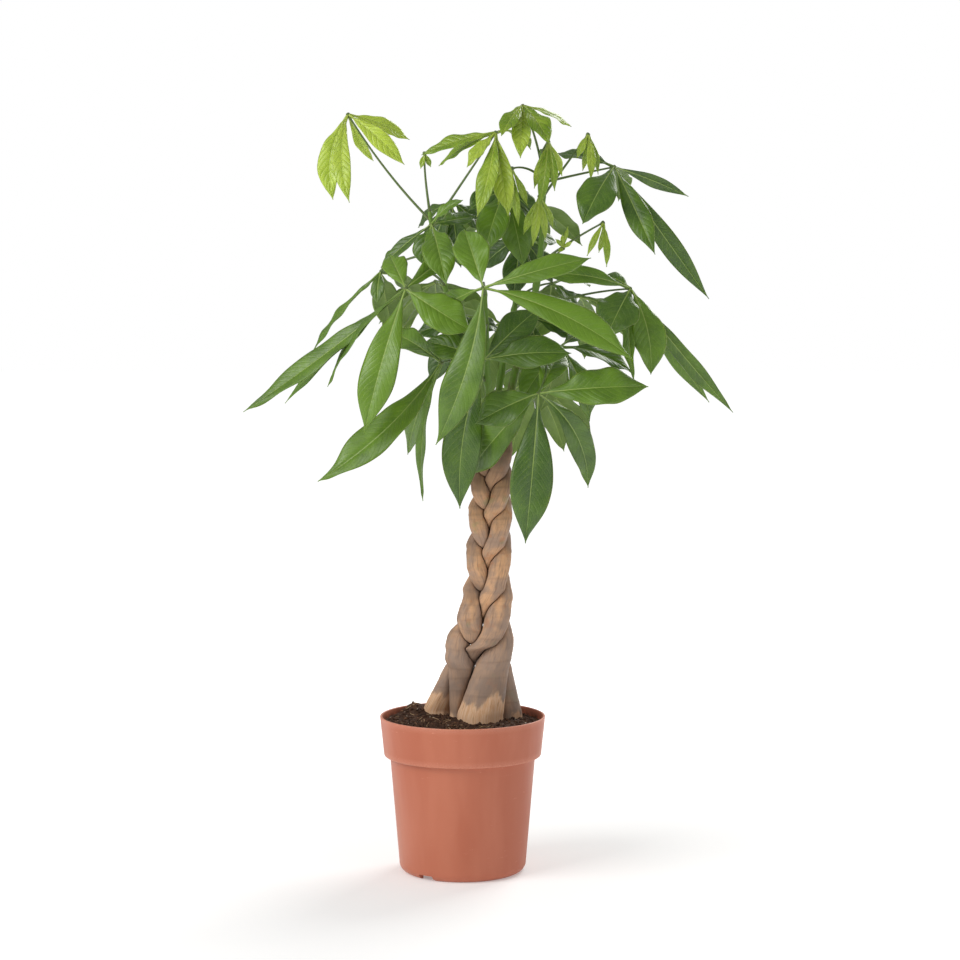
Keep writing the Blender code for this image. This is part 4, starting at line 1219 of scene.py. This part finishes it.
@dataclass
class Leaflets:
    """Makes the leaflets, which share one kind of outline, fold, quilting, waves and midrib.

    Lengths are in metres. The quilting's, waves', ripple's and droop's shares are of a leaflet's
    width, the groove's is of its rib, and where something starts or ends along a leaflet is a
    share of its length.
    """

    seed: int = 7
    rows: int = 60
    columns: int = 18
    column_power: float = 1.15
    root: float = 0.07
    peak: float = 1.20
    outline_power: float = 0.75
    outline_growth: float = 0.5
    opening: tuple = (0.02, 0.12)
    closing: tuple = (1.0, 0.93)
    narrowest: float = 0.0011
    narrowing: float = 0.6
    fold: float = math.radians(12)
    thickness: float = 0.0005
    root_thickness: float = 0.0019
    root_fade: tuple = (0.04, 0.20)
    rib_depth: float = 0.0011
    rib_depth_end: float = 1.1
    rib_width: float = 0.0011
    rib_width_end: float = 1.15
    groove_share: float = 0.25
    vein_spacing: float = 0.0078
    vein_slants: tuple = (0.36, 0.26)
    vein_count_offset: int = 40
    quilt_share: float = 0.024
    quilt_most: float = 0.0008
    quilt_start: tuple = (0.03, 0.22)
    quilt_power: float = 0.7
    wave_share: float = 0.045
    wave_counts: tuple = (2.2, 3.6)
    wave_lag: float = 0.35
    ripple_share: float = 0.035
    ripple_count: int = 9
    droop_share: float = 0.05
    droop_power: float = 2.4
    droop_spread: tuple = (0.2, 1.4)
    tone_spread: float = 0.6

    @staticmethod
    def painted_light_shift(leaf: Leaf) -> float:
        """Painted light and shade on a leaf, as a shift of its tone: the higher, the paler."""
        shifts = (shift for start, shift in PAINTED_LIGHT_SHIFTS.items() if leaf.name.startswith(start))
        return next(shifts, USUAL_PAINTED_LIGHT_SHIFT)

    def midrib(self, leaf: Leaf, blade: Blade) -> tuple[Array, Array, Array]:
        """The run of a leaflet's midrib.

        Args:
            leaf: The leaf it grows on.
            blade: Its size and pose.

        Returns:
            Points along the midrib, then the unit normal and the unit side at each.
        """
        hub, chord = np.array(leaf.hub) * MM, np.array(blade.tip) * MM
        length = np.linalg.norm(chord)
        ahead = chord / length
        normal = square_to(np.array(leaf.facing, float), ahead)
        roll = math.radians(blade.roll)
        normal = normal * math.cos(roll) + np.cross(ahead, normal) * math.sin(roll)
        side = np.cross(ahead, normal)
        middle = hub + 0.5 * chord + 2 * length * (blade.arch * normal + blade.sway * side)
        line = resampled(arc(hub, middle, hub + chord, 60), self.rows)
        tangents = tangents_of(line)
        normals = carried_normals(tangents, normal)
        return line, normals, np.cross(tangents, normals)

    def waves(self, s: Array, t: Array, veins: Array, width: float, number: int,
              rng: np.random.Generator) -> Array:
        """How a leaflet swells between its side veins, waves along its margins and droops.

        Args:
            s: How far along the leaflet each point is, 0 to 1.
            t: How far across it each point is, -1 to 1.
            veins: The count of side veins at each point.
            width: The leaflet's width.
            number: Its place among all the leaflets.
            rng: Picks its own waves.

        Returns:
            Each point's height above the folded blade.
        """
        out = np.abs(t)
        quilt = np.abs(np.sin(math.pi * veins)) ** self.quilt_power
        quilt *= smoothstep(*self.quilt_start, out)
        quilt *= (1 - out ** 3) * np.minimum(self.quilt_share * width, self.quilt_most)
        waves = np.sin(2 * math.pi * (s * rng.uniform(*self.wave_counts) + rng.uniform(0, 1)
                                      + self.wave_lag * (t > 0)))
        run, side = s * self.ripple_count, np.sign(t) * 3 + 0 * s
        ripple = value_noise(np.stack((run, side, 0 * s), axis=-1), number)
        margin = width * (self.wave_share * waves + self.ripple_share * ripple) * out ** 2
        droop = self.droop_share * width * out ** self.droop_power
        droop *= rng.uniform(*self.droop_spread)
        return quilt + margin - droop

    def make(self, leaf: Leaf, blade: Blade, number: int) -> Piece:
        """Makes one leaflet: a thin closed skin, quilted between its side veins.

        Args:
            leaf: The leaf it grows on.
            blade: Its size and pose.
            number: Its place among all the leaflets, for its own waves and tone.

        Returns:
            The leaflet.
        """
        rng = np.random.default_rng(self.seed * 1000 + number)
        line, normals, sides = self.midrib(leaf, blade)
        length, width = np.linalg.norm(blade.tip) * MM, blade.width * MM
        share = np.linspace(0, 1, self.rows)
        across = np.linspace(-1, 1, self.columns + 1)
        across = np.sign(across) * np.abs(across) ** self.column_power
        across = np.concatenate((across, across[-2::-1]))
        under = np.zeros(len(across))
        under[self.columns + 1:-1] = 1
        lengthwise = np.clip((share - self.root) / (1 - self.root), 0, 1)
        bulge = np.maximum(np.sin(math.pi * lengthwise ** self.peak), 0)
        outline = bulge ** (self.outline_power + self.outline_growth * share)
        least = self.narrowest * (1 - self.narrowing * share)
        half = np.maximum(0.5 * width * outline, least)[:, None]
        s, t = share[:, None] * np.ones(len(across)), across * np.ones((len(share), 1))
        out = np.abs(t)
        in_blade = smoothstep(*self.opening, lengthwise)[:, None] * smoothstep(*self.closing, s)

        straight, curved = self.vein_slants
        slant = width / length * (straight * out + curved * out ** 2)
        veins = (s - slant) * length / self.vein_spacing + 0.5 * (t < 0) + rng.uniform(0, 1)
        waves = self.waves(s, t, veins, width, number, rng)
        lift = half * out * math.sin(self.fold) + waves * in_blade
        thick = self.thickness * np.sqrt(np.maximum(1 - out ** 8, 0))
        at_root = (1 - smoothstep(*self.root_fade, s)) * np.sqrt(np.maximum(1 - t * t, 0))
        thick = thick + self.root_thickness * at_root
        rib_reach = out * half / (self.rib_width * (self.rib_width_end - s))
        rib = self.rib_depth * (self.rib_depth_end - s) * np.exp(-rib_reach ** 2)
        groove = self.groove_share * rib * in_blade
        height = lift + np.where(under > 0, -0.5 * thick - rib, 0.5 * thick - groove)
        reach = t * half * math.cos(self.fold)
        loops = line[:, None] + sides[:, None] * reach[..., None]
        loops = loops + normals[:, None] * height[..., None]
        ends = line[[0, -1]][:, None] * np.ones((1, len(across), 1))
        loops = np.concatenate((ends[:1], loops, ends[1:]))

        def with_ends(values: Array) -> Array:
            """The values, with the first and last row doubled for the closed ends."""
            return np.concatenate((values[:1], values, values[-1:]))

        # The tone is random, shifted by the leaf's painted light and shade.
        marks = {"vein": veins + self.vein_count_offset, "across": out, "rib": rib_reach,
                 "under": under * np.ones_like(s),
                 "tone": rng.uniform(0, self.tone_spread) + self.painted_light_shift(leaf) + 0 * s}
        return skin(f"{leaf.name}_blade", loops, {name: with_ends(m) for name, m in marks.items()})


@dataclass
class Crown:
    """The green shoots and the leaves that they carry."""

    plait: Plait
    seed: int = 7
    upright: float = 0.006
    seat_gap: float = 0.0003
    shoot_rows: int = 170
    shoot_swelling: tuple = (0.0006, 0.003)
    stalk_rows: int = 60
    stalk_radii: tuple = (0.0014, 0.0009)
    foot_swelling: tuple = (0.0005, 0.008)
    knuckle_radius: float = 0.0023
    knuckle_reach: float = 0.0026
    knuckle_tip: tuple = (0.0009, 0.0015)
    knuckle_taper: tuple = (0.85, 0.45)
    skin_scale: tuple = (300, 300, 80)
    skin_relief: float = 0.0002
    leaflets: Leaflets = field(default_factory=Leaflets)
    young: LeafFinish = field(default_factory=lambda: LeafFinish(
        "young_leaf_skin", srgb(98, 130, 12), srgb(170, 190, 66), srgb(170, 188, 84),
        srgb(126, 152, 44), 0.34, 0.30, 0.22, 0.9, 0.5))
    grown: LeafFinish = field(default_factory=lambda: LeafFinish(
        "grown_leaf_skin", srgb(46, 80, 0), srgb(94, 130, 12), srgb(146, 168, 84),
        srgb(102, 128, 50), 0.42, 0.16, 0.15, 0.35, 0.6))

    def shoot_line(self, shoot: Shoot, steps: int) -> Array:
        """Points along a shoot's axis, upright at its foot.

        Args:
            shoot: Which one.
            steps: How many steps each stretch of its route gets.

        Returns:
            The points, one row each.
        """
        stem = next(stem for stem in self.plait.stems if stem.name == shoot.stem)
        foot = np.append(self.plait.centre(stem, stem.top_z), stem.top_z + self.seat_gap)
        upright = foot + (0, 0, self.upright)
        line = smooth_line(np.vstack((upright, np.array(shoot.route) * MM)), steps)
        return np.vstack((foot, line))

    def stalk_line(self, leaf: Leaf, steps: int) -> Array:
        """Points along a leaf's stalk, from its shoot's axis to the knuckle.

        Args:
            leaf: Which one.
            steps: How many steps the stalk gets.

        Returns:
            The points, one row each.
        """
        shoot = next(shoot for shoot in SHOOTS if shoot.name == leaf.shoot)
        axis = self.shoot_line(shoot, 8)
        height = leaf.height * MM
        root = np.array([np.interp(height, axis[:, 2], axis[:, i]) for i in range(3)])
        hub = np.array(leaf.hub) * MM
        return arc(root, 0.5 * (root + hub) + 2 * np.array(leaf.bend) * MM, hub, steps)

    def green_shoot(self, shoot: Shoot, material: Material) -> Piece:
        """Makes a shoot, swollen where each stalk leaves it.

        Args:
            shoot: Which one.
            material: Its green skin.

        Returns:
            The piece.
        """
        line = resampled(self.shoot_line(shoot, 12), self.shoot_rows)
        share = np.linspace(0, 1, len(line))
        radii = (shoot.base_radius + (shoot.tip_radius - shoot.base_radius) * share) * MM
        swelling, reach = self.shoot_swelling
        for leaf in LEAVES:
            if leaf.shoot == shoot.name:
                radii += swelling * np.exp(-((line[:, 2] - leaf.height * MM) / reach) ** 2)
        loops, place = tube_rows(line, radii, 22)
        relief = self.skin_relief * rough_noise(place * self.skin_scale, self.seed)
        loops += relief[..., None] * (1, 1, 0)
        rows = np.append(np.append(0, share), 1)[:, None] * np.ones(loops.shape[1])
        marks = {"skin": place, "age": np.clip(1.0 - 2.6 * rows, 0, 1)}
        return adopt(skin(f"{shoot.name}_skin", loops, marks), Slot.SHOOT, material, shoot.name)

    def stalk(self, leaf: Leaf) -> Piece:
        """Makes a leaf's stalk, with its swollen foot and the knuckle that the blades grow from.

        Args:
            leaf: Which one.

        Returns:
            The piece.
        """
        line = resampled(self.stalk_line(leaf, 24), self.stalk_rows)
        run = np.append(0, np.cumsum(np.linalg.norm(np.diff(line, axis=0), axis=1)))
        left = run[-1] - run
        radii = np.interp(run / run[-1], (0, 1), self.stalk_radii)
        swelling, reach = self.foot_swelling
        radii += swelling * np.exp(-(run / reach) ** 2)
        knuckle = self.knuckle_radius - self.stalk_radii[1]
        radii += knuckle * np.exp(-(left / self.knuckle_reach) ** 2)
        tip = line[-1] + tangents_of(line)[-1] * np.array(self.knuckle_tip)[:, None]
        line = np.vstack((line, tip))
        radii = np.append(radii, self.knuckle_radius * np.array(self.knuckle_taper))
        loops, place = tube_rows(line, radii, 14)
        last = len(loops) - 1
        age = np.interp(np.arange(len(loops)), (0, 8, last - 5, last), (0.7, 0, 0, 0.5))
        marks = {"skin": place, "age": age[:, None] * np.ones(loops.shape[1])}
        return skin(f"{leaf.name}_stalk", loops, marks)

    def build(self) -> None:
        """Makes every shoot, stalk and leaf."""
        bark_green = ShootFinish("green_shoot_skin", srgb(96, 132, 36), srgb(104, 98, 52)).make()
        stalk_green = ShootFinish("stalk_skin", srgb(82, 104, 48), srgb(98, 92, 52)).make()
        young, grown = self.young.make(), self.grown.make()
        for shoot in SHOOTS:
            self.green_shoot(shoot, bark_green)
        number = 0
        for leaf in LEAVES:
            is_young = leaf.name in YOUNG_LEAVES
            slot = Slot.YOUNG if is_young else Slot.GROWN
            adopt(self.stalk(leaf), slot, stalk_green, leaf.name)
            blades = []
            for blade in leaf.blades:
                number += 1
                blades.append(self.leaflets.make(leaf, blade, number))
            piece = joined(f"{leaf.name}_blades", blades)
            adopt(piece, slot, young if is_young else grown, leaf.name)


# ---------------------------------------------------------------- pot


@dataclass
class NurseryPot:
    """The moulded pot: tapered wall, collar with a rolled lip, drain ring, holes and notches."""

    height: float = 0.161
    rim_radius: float = 0.085
    wall: float = 0.0022
    collar_height: float = 0.041
    collar_foot_radius: float = 0.081
    body_top_radius: float = 0.0745
    body_foot_radius: float = 0.0655
    foot_radius: float = 0.0585
    foot_round: float = 0.009
    lip_round: float = 0.0010
    collar_round: float = 0.0018
    shoulder_round: float = 0.0014
    shoulder_width: float = 0.0016
    floor_fillet: float = 0.005
    foot_taper: float = 0.001
    ring_wall: float = 0.001
    ovalness: float = 0.0014
    rub_and_highlight_reach: float = 0.0012
    disc_radius: float = 0.044
    drain_radii: tuple = (0.046, 0.0565)
    drain_depth: float = 0.005
    floor: float = 0.0025
    step_z: tuple = (0.1208, 0.1232)
    notch_count: int = 3
    notch_size: tuple = (0.022, 0.017, 0.0055)
    notch_round: float = 0.0012
    first_notch: float = math.radians(-126)
    hole_count: int = 6
    hole_radius: float = 0.004
    segments: int = 216
    finish: PotFinish = field(default_factory=PotFinish)

    @property
    def collar_z(self) -> float:
        """Height of the collar's lower edge."""
        return self.height - self.collar_height

    @property
    def ring_floor_z(self) -> float:
        """Height of the inner floor over the drain ring."""
        return self.drain_depth + self.floor

    def inner_radius(self, z: float) -> float:
        """Radius of the inner wall at a height."""
        floor_z = self.ring_floor_z
        heights = (floor_z, floor_z + self.floor_fillet, *self.step_z, self.height)
        return float(np.interp(z, heights, (
            self.body_foot_radius - self.foot_round,
            self.body_foot_radius - self.wall - self.foot_taper, self.body_top_radius - self.wall,
            self.collar_foot_radius - self.wall, self.rim_radius - self.wall)))

    @staticmethod
    def corner(centre: tuple, radius: float, start: float, end: float, steps: int) -> list:
        """Points of a rounded corner.

        Args:
            centre: Its middle, as (radius, z).
            radius: How round it is.
            start: The angle it begins at, in degrees.
            end: The angle it ends at, in degrees.
            steps: How many steps it gets.

        Returns:
            The points, each (radius, z).
        """
        angles = np.radians(np.linspace(start, end, steps + 1))
        return [(centre[0] + radius * math.cos(a), centre[1] + radius * math.sin(a))
                for a in angles]

    def profile(self) -> list:
        """The wall's outline as (radius, z): over the lip, down the outside, up the inside."""
        lip, collar, shoulder = self.lip_round, self.collar_round, self.shoulder_round
        foot, floor_z = self.foot_round, self.ring_floor_z
        outside = [
            *self.corner((self.rim_radius - self.wall + lip, self.height - lip), lip, 180, 90, 5),
            *self.corner((self.rim_radius - lip, self.height - lip), lip, 90, -4, 6),
            *self.corner((self.collar_foot_radius - collar, self.collar_z + collar), collar,
                         -5, -90, 6),
            *self.corner((self.body_top_radius + self.shoulder_width, self.collar_z - shoulder),
                         shoulder, 90, 170, 5),
            *self.corner((self.body_foot_radius - foot, foot), foot, 4, -80, 10),
            (self.foot_radius, 0.00005), (self.foot_radius - 0.0008, 0.0),
            (self.drain_radii[1] + 0.0004, 0.0), (self.drain_radii[1], 0.0004),
            (self.drain_radii[1], self.drain_depth - 0.0006),
            (self.drain_radii[1] - 0.0006, self.drain_depth),
            (self.drain_radii[0] + 0.0004, self.drain_depth),
            (self.drain_radii[0], self.drain_depth - 0.0003),
            (self.disc_radius + 0.0002, 0.0004), (self.disc_radius - 0.0004, 0.0), (0, 0),
        ]
        inside = [
            (0, self.floor), (self.disc_radius - self.ring_wall, self.floor),
            (self.drain_radii[0] - self.ring_wall, floor_z),
            (self.body_foot_radius - foot, floor_z),
            (self.body_foot_radius - self.wall - self.foot_taper, floor_z + self.floor_fillet),
            (self.body_top_radius - self.wall, self.step_z[0]),
            (self.collar_foot_radius - self.wall, self.step_z[1]),
        ]
        return outside + inside + outside[:1]

    @staticmethod
    def filled(profile: list, longest: float) -> Array:
        """The outline with points added on its long straight runs.

        Args:
            profile: Its corners.
            longest: No two points end up further apart than this.

        Returns:
            The points, one row each.
        """
        points = [np.array(profile[0], float)]
        for end in profile[1:]:
            start, end = points[-1], np.array(end, float)
            steps = max(1, math.ceil(np.linalg.norm(end - start) / longest))
            points += [start + (end - start) * i / steps for i in range(1, steps + 1)]
        return np.array(points)

    def build(self) -> None:
        """Makes the pot."""
        outline = self.filled(self.profile(), 0.006)
        floor_at = np.flatnonzero(outline[:, 0] < WELD)
        inner = outline[floor_at[-1]:-1]
        outline = np.concatenate((inner, outline[:floor_at[0] + 1]))
        angles = np.linspace(0, 2 * math.pi, self.segments + 1)
        radius, z = outline[:, :1], outline[:, 1:]
        oval = 1 + self.ovalness * np.sin(2 * angles + 0.8) * smoothstep(0.02, self.height, z)
        loops = np.stack((radius * oval * np.cos(angles), radius * oval * np.sin(angles),
                          z + 0 * angles), axis=-1)
        inside = np.arange(len(outline))[:, None] < len(inner)
        # The edge mark: the rim's lip and the collar's edge, painted paler as wear and, on the lip,
        # as a painted highlight.
        rim = np.exp(-((z - self.height) / self.rub_and_highlight_reach) ** 2)
        collar = 0.6 * np.exp(-((z - self.collar_z - 0.001) / self.rub_and_highlight_reach) ** 2)
        collar = collar * (radius > self.body_top_radius + self.collar_round)
        marks = {"inside": inside + 0 * angles, "edge": np.clip(rim + collar, 0, 1) + 0 * angles}
        pot = skin("pot_shell", loops, marks)
        self.open_notches(pot)
        self.drill_holes(pot)
        select(pot)
        bpy.ops.object.shade_smooth_by_angle(angle=math.radians(38))
        adopt(pot, Slot.POT, self.finish.make(), "pot")

    def open_notches(self, pot: Piece) -> None:
        """Cuts the notches that let water out of the drain ring."""
        reach = sum(self.drain_radii) / 2 + self.notch_size[0] / 2
        for i in range(self.notch_count):
            angle = self.first_notch + i * 2 * math.pi / self.notch_count
            place = (reach * math.cos(angle), reach * math.sin(angle), 0)
            deselect()
            bpy.ops.mesh.primitive_cube_add(size=1, rotation=(0, 0, angle), location=place)
            notch = bpy.context.object
            notch.dimensions = (*self.notch_size[:2], 2 * self.notch_size[2])
            bpy.ops.object.transform_apply(location=True, rotation=True, scale=True)
            bpy.ops.object.modifier_add(type="BEVEL")
            notch.modifiers["Bevel"].width = self.notch_round
            notch.modifiers["Bevel"].segments = 3
            bpy.ops.object.modifier_apply(modifier="Bevel")
            self.cut(pot, notch)

    def drill_holes(self, pot: Piece) -> None:
        """Cuts the holes in the drain ring's floor."""
        reach = sum(self.drain_radii) / 2
        for i in range(self.hole_count):
            angle = self.first_notch + i * 2 * math.pi / self.hole_count
            place = (reach * math.cos(angle), reach * math.sin(angle), self.drain_depth)
            deselect()
            bpy.ops.mesh.primitive_cylinder_add(vertices=32, radius=self.hole_radius, depth=0.02,
                                                location=place)
            self.cut(pot, bpy.context.object)

    @staticmethod
    def cut(pot: Piece, cutter: Piece) -> None:
        """Cuts a shape out of the pot and removes the cutter."""
        select(pot)
        modifier = pot.modifiers.new("Cut", "BOOLEAN")
        modifier.object = cutter
        modifier.operation = "DIFFERENCE"
        modifier.solver = "EXACT"
        bpy.ops.object.modifier_apply(modifier="Cut")
        bpy.data.objects.remove(cutter, do_unlink=True)


# ---------------------------------------------------------------- soil


@dataclass
class SoilBed:
    """The potting mix: a lumpy bed heaped round the stems, with crumbs, bark bits and rootlets.

    The heap and the bank are each given by how high they rise, the x and y of their middle and
    how far they reach.
    """

    pot: NurseryPot
    plait: Plait
    level: float = 0.1530
    heap: tuple = (0.0052, 0.012, 0.020, 0.040)
    bank: tuple = (0.0125, -0.050, 0.044, 0.022)
    clearance: float = 0.0006
    seat_gap: float = 0.0003
    coarse_lumps: tuple = (0.0011, 130)
    fine_lumps: tuple = (0.0007, 420)
    ring_count: int = 84
    segments: int = 200
    crumb_count: int = 1500
    fleck_count: int = 34
    rootlet_count: int = 60
    rootlet_lengths: tuple = (0.005, 0.014)
    rootlet_radii: tuple = (0.00018, 0.00042)
    seed: int = 23

    @property
    def radius(self) -> float:
        """Radius of the bed at its surface."""
        return self.pot.inner_radius(self.level) - self.clearance

    def height_at(self, x: Array, y: Array) -> Array:
        """Height of the bed's surface: heaped round the stems, banked at the back left."""
        rise = sum(height * np.exp(-((x - at_x) ** 2 + (y - at_y) ** 2) / reach ** 2)
                   for height, at_x, at_y, reach in (self.heap, self.bank))
        edge = np.minimum(1.0, (self.radius - np.hypot(x, y)) / 0.012)
        return self.level + rise * (0.35 + 0.65 * edge)

    def lumps(self, x: Array, y: Array) -> Array:
        """The crumbly relief on the surface."""
        place = np.stack((x, y, 0 * x), axis=-1)
        (high, scale), (fine_high, fine_scale) = self.coarse_lumps, self.fine_lumps
        fine = np.abs(rough_noise(place * fine_scale, self.seed + 9, 2))
        return high * rough_noise(place * scale, self.seed, 3) + fine_high * fine

    def bed(self, material: Material) -> None:
        """Makes the bed itself, down to the pot's floor."""
        angles = np.linspace(0, 2 * math.pi, self.segments + 1)
        radii = np.linspace(0, self.radius, self.ring_count)[:, None]
        x, y = radii * np.cos(angles), radii * np.sin(angles)
        z = self.height_at(x, y) + self.lumps(x, y)
        rows = [np.stack((x, y, z), axis=-1)]
        pot, gap = self.pot, self.seat_gap
        floor, ring_floor = pot.floor + gap, pot.ring_floor_z + gap
        low_step, high_step = (z + gap for z in pot.step_z)
        walls = [(pot.inner_radius(z) - self.clearance, z)
                 for z in (high_step, low_step, pot.ring_floor_z + pot.floor_fillet)]
        walls += [(pot.body_foot_radius - pot.foot_round - gap, ring_floor),
                  (pot.drain_radii[0] - pot.ring_wall - gap, ring_floor),
                  (pot.disc_radius - pot.ring_wall - gap, floor), (0.0, floor)]
        for reach, height in walls:
            rows.append(np.stack((reach * np.cos(angles), reach * np.sin(angles),
                                  height + 0 * angles), axis=-1)[None])
        loops = np.concatenate(rows)
        tone = 0.5 + 0.5 * value_noise(loops * 240, self.seed)
        adopt(skin("soil_bed", loops, {"tone": tone}), Slot.SOIL, material, "soil")

    def scatter(self, rng: np.random.Generator, margin: float) -> Array:
        """A random place on the surface, clear of the wall and of the stems' feet.

        Args:
            rng: Picks the place.
            margin: How far from the wall it stays.

        Returns:
            The place.
        """
        while True:
            x, y = rng.uniform(-self.radius, self.radius, 2)
            if math.hypot(x, y) > self.radius - margin:
                continue
            near = min(math.hypot(x - s.foot[0], y - s.foot[1]) - s.foot_radius
                       for s in self.plait.stems)
            if near > 0.2 * margin:
                return np.array((x, y, self.height_at(x, y) + self.lumps(x, y)))

    def bits(self, name: str, count: int, sizes: tuple, flatness: float, sunk: float,
             material: Material, seed: int) -> None:
        """Makes many small lumps of one kind, lying on the bed.

        Args:
            name: The piece's name.
            count: How many lumps.
            sizes: Smallest and largest radius.
            flatness: How much flatter than wide they are.
            sunk: Share of a lump's radius that is below the surface.
            material: Their material.
            seed: Picks their places and shapes.
        """
        rng = np.random.default_rng(seed)
        deselect()
        bpy.ops.mesh.primitive_ico_sphere_add(subdivisions=1, radius=1)
        model = bpy.context.object
        base = np.array([vert.co for vert in model.data.vertices])
        copies, tones = [], []
        for _ in range(count):
            size = sizes[0] + (sizes[1] - sizes[0]) * rng.uniform(0, 1) ** 3
            stretch = size * rng.uniform(0.6, 1.3, 3) * (1, 1, flatness)
            turn = rng.uniform(0, 2 * math.pi)
            shape = base * (1 + rng.uniform(-0.28, 0.28, (len(base), 1))) * stretch
            turned = np.column_stack((shape[:, 0] * math.cos(turn) - shape[:, 1] * math.sin(turn),
                                      shape[:, 0] * math.sin(turn) + shape[:, 1] * math.cos(turn),
                                      shape[:, 2]))
            place = self.scatter(rng, 2 * size)
            copies.append(turned + place + (0, 0, size * flatness * (1 - 2 * sunk)))
            tones.append(rng.uniform(0, 1))
        parts = []
        for points in copies:
            part = bpy.data.objects.new(name, model.data.copy())
            bpy.context.collection.objects.link(part)
            part.data.vertices.foreach_set("co", points.astype(np.float32).ravel())
            parts.append(part)
        bpy.data.objects.remove(model, do_unlink=True)
        piece = joined(name, parts)
        tone = piece.data.attributes.new("tone", "FLOAT", "POINT")
        tone.data.foreach_set("value", np.repeat(tones, len(base)).astype(np.float32))
        bpy.ops.object.shade_smooth()
        adopt(piece, Slot.SOIL, material)

    def rootlets(self, material: Material) -> None:
        """Makes the thin pale roots and straws that lie on the bed."""
        rng = np.random.default_rng(self.seed + 3)
        parts = []
        for _ in range(self.rootlet_count):
            start, heading = self.scatter(rng, 0.012), rng.uniform(0, 2 * math.pi)
            length, bend = rng.uniform(*self.rootlet_lengths), rng.uniform(-0.9, 0.9)
            steps = np.linspace(0, 1, 4)
            way = heading + bend * steps
            x = start[0] + length * steps * np.cos(way)
            y = start[1] + length * steps * np.sin(way)
            z = self.height_at(x, y) + self.lumps(x, y) + rng.uniform(0.0001, 0.0007, 4)
            line = smooth_line(np.column_stack((x, y, z)), 3)
            radii = np.full(len(line), rng.uniform(*self.rootlet_radii))
            loops, _ = tube_rows(line, radii, 6)
            tone = rng.uniform(0, 1) + np.zeros(loops.shape[:2])
            parts.append(skin("rootlet", loops, {"tone": tone}))
        adopt(joined("soil_rootlets", parts), Slot.SOIL, material)

    def build(self) -> None:
        """Makes the bed and everything that lies on it."""
        peat = SoilFinish("peat", srgb(44, 29, 22), srgb(104, 72, 52)).make()
        chips = SoilFinish("bark_chips", srgb(84, 54, 38), srgb(150, 108, 76)).make()
        flecks = SoilFinish("pale_flecks", srgb(176, 160, 138), srgb(216, 206, 190)).make()
        roots = SoilFinish("dry_rootlets", srgb(150, 116, 84), srgb(204, 176, 140)).make()
        self.bed(peat)
        kinds = (("soil_crumbs", self.crumb_count, (0.0006, 0.0026), 0.75, 0.35, peat),
                 ("soil_chips", self.crumb_count // 8, (0.0009, 0.0030), 0.35, 0.25, chips),
                 ("soil_flecks", self.fleck_count, (0.0006, 0.0014), 0.8, 0.3, flecks))
        for i, kind in enumerate(kinds):
            self.bits(*kind, self.seed + i)
        self.rootlets(roots)


# ---------------------------------------------------------------- studio


@dataclass(frozen=True)
class Lamp:
    """A square soft light: where it hangs, its side in metres, its watts and its tint."""

    name: str
    place: tuple
    side: float
    power: float
    tint: tuple


@dataclass
class Studio:
    """Pale floor, soft lights and the camera."""

    lamps: tuple = (Lamp("key", (-1.9, -1.3, 1.9), 1.7, 47.0, (1.0, 0.99, 0.97)),
                    Lamp("fill", (1.8, -1.9, 0.9), 1.6, 6.0, (0.97, 0.98, 1.0)),
                    Lamp("back", (1.0, 1.6, 1.6), 1.2, 30.0, (1.0, 1.0, 0.98)))
    aim: tuple = (0.02, 0.0, 0.42)
    camera_place: tuple = (0.0179, -2.4, 0.576)
    camera_drop: float = math.radians(4.1)
    lens: float = 88.1
    floor_size: float = 40.0
    glow: float = 0.38

    def floor(self) -> None:
        """Lays the floor."""
        deselect()
        bpy.ops.mesh.primitive_plane_add(size=self.floor_size)
        floor = bpy.context.object
        floor.name = "floor"
        floor.data.materials.append(FloorFinish().make())

    def surroundings(self) -> None:
        """Lights the scene softly from all round, in front of a white backdrop."""
        world = bpy.data.worlds.new("soft_white")
        world.use_nodes = True
        tree = world.node_tree
        rays = tree.nodes.new("ShaderNodeLightPath")
        strength = tree.nodes.new("ShaderNodeMapRange")
        strength.inputs["To Min"].default_value = self.glow
        strength.inputs["To Max"].default_value = 1.0
        tree.links.new(rays.outputs["Is Camera Ray"], strength.inputs["Value"])
        backdrop = tree.nodes["Background"]
        backdrop.inputs["Color"].default_value = (1.0, 1.0, 1.0, 1.0)
        tree.links.new(strength.outputs["Result"], backdrop.inputs["Strength"])
        bpy.context.scene.world = world
        bpy.context.scene.view_settings.view_transform = "Standard"

    def hang(self, lamp: Lamp) -> None:
        """Hangs a light so that it faces the middle of the plant."""
        light = bpy.data.lights.new(lamp.name, "AREA")
        light.energy, light.size, light.color = lamp.power, lamp.side, lamp.tint
        held = bpy.data.objects.new(lamp.name, light)
        held.location = lamp.place
        ahead = np.array(self.aim) - np.array(lamp.place)
        flat = math.hypot(ahead[0], ahead[1])
        held.rotation_euler = (math.atan2(flat, -ahead[2]), 0, math.atan2(-ahead[0], ahead[1]))
        bpy.context.scene.collection.objects.link(held)

    def set_camera(self) -> None:
        """Sets up the camera, level with the crown and tilted a little down."""
        camera = bpy.data.cameras.new("camera")
        camera.lens = self.lens
        camera.clip_end = 50
        held = bpy.data.objects.new("camera", camera)
        held.location = self.camera_place
        held.rotation_euler = (math.pi / 2 - self.camera_drop, 0, 0)
        bpy.context.scene.collection.objects.link(held)
        bpy.context.scene.camera = held

    def build(self) -> None:
        """Sets up the whole studio."""
        self.floor()
        self.surroundings()
        for lamp in self.lamps:
            self.hang(lamp)
        self.set_camera()


def main() -> None:
    """Builds every piece round the frame."""
    logging.basicConfig(level=logging.INFO, format="%(name)s: %(message)s")
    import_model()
    Studio().build()
    plait, pot = Plait(), NurseryPot()
    Trunk(plait).build()
    Crown(plait).build()
    pot.build()
    SoilBed(pot, plait).build()


if __name__ == "__main__":
    main()
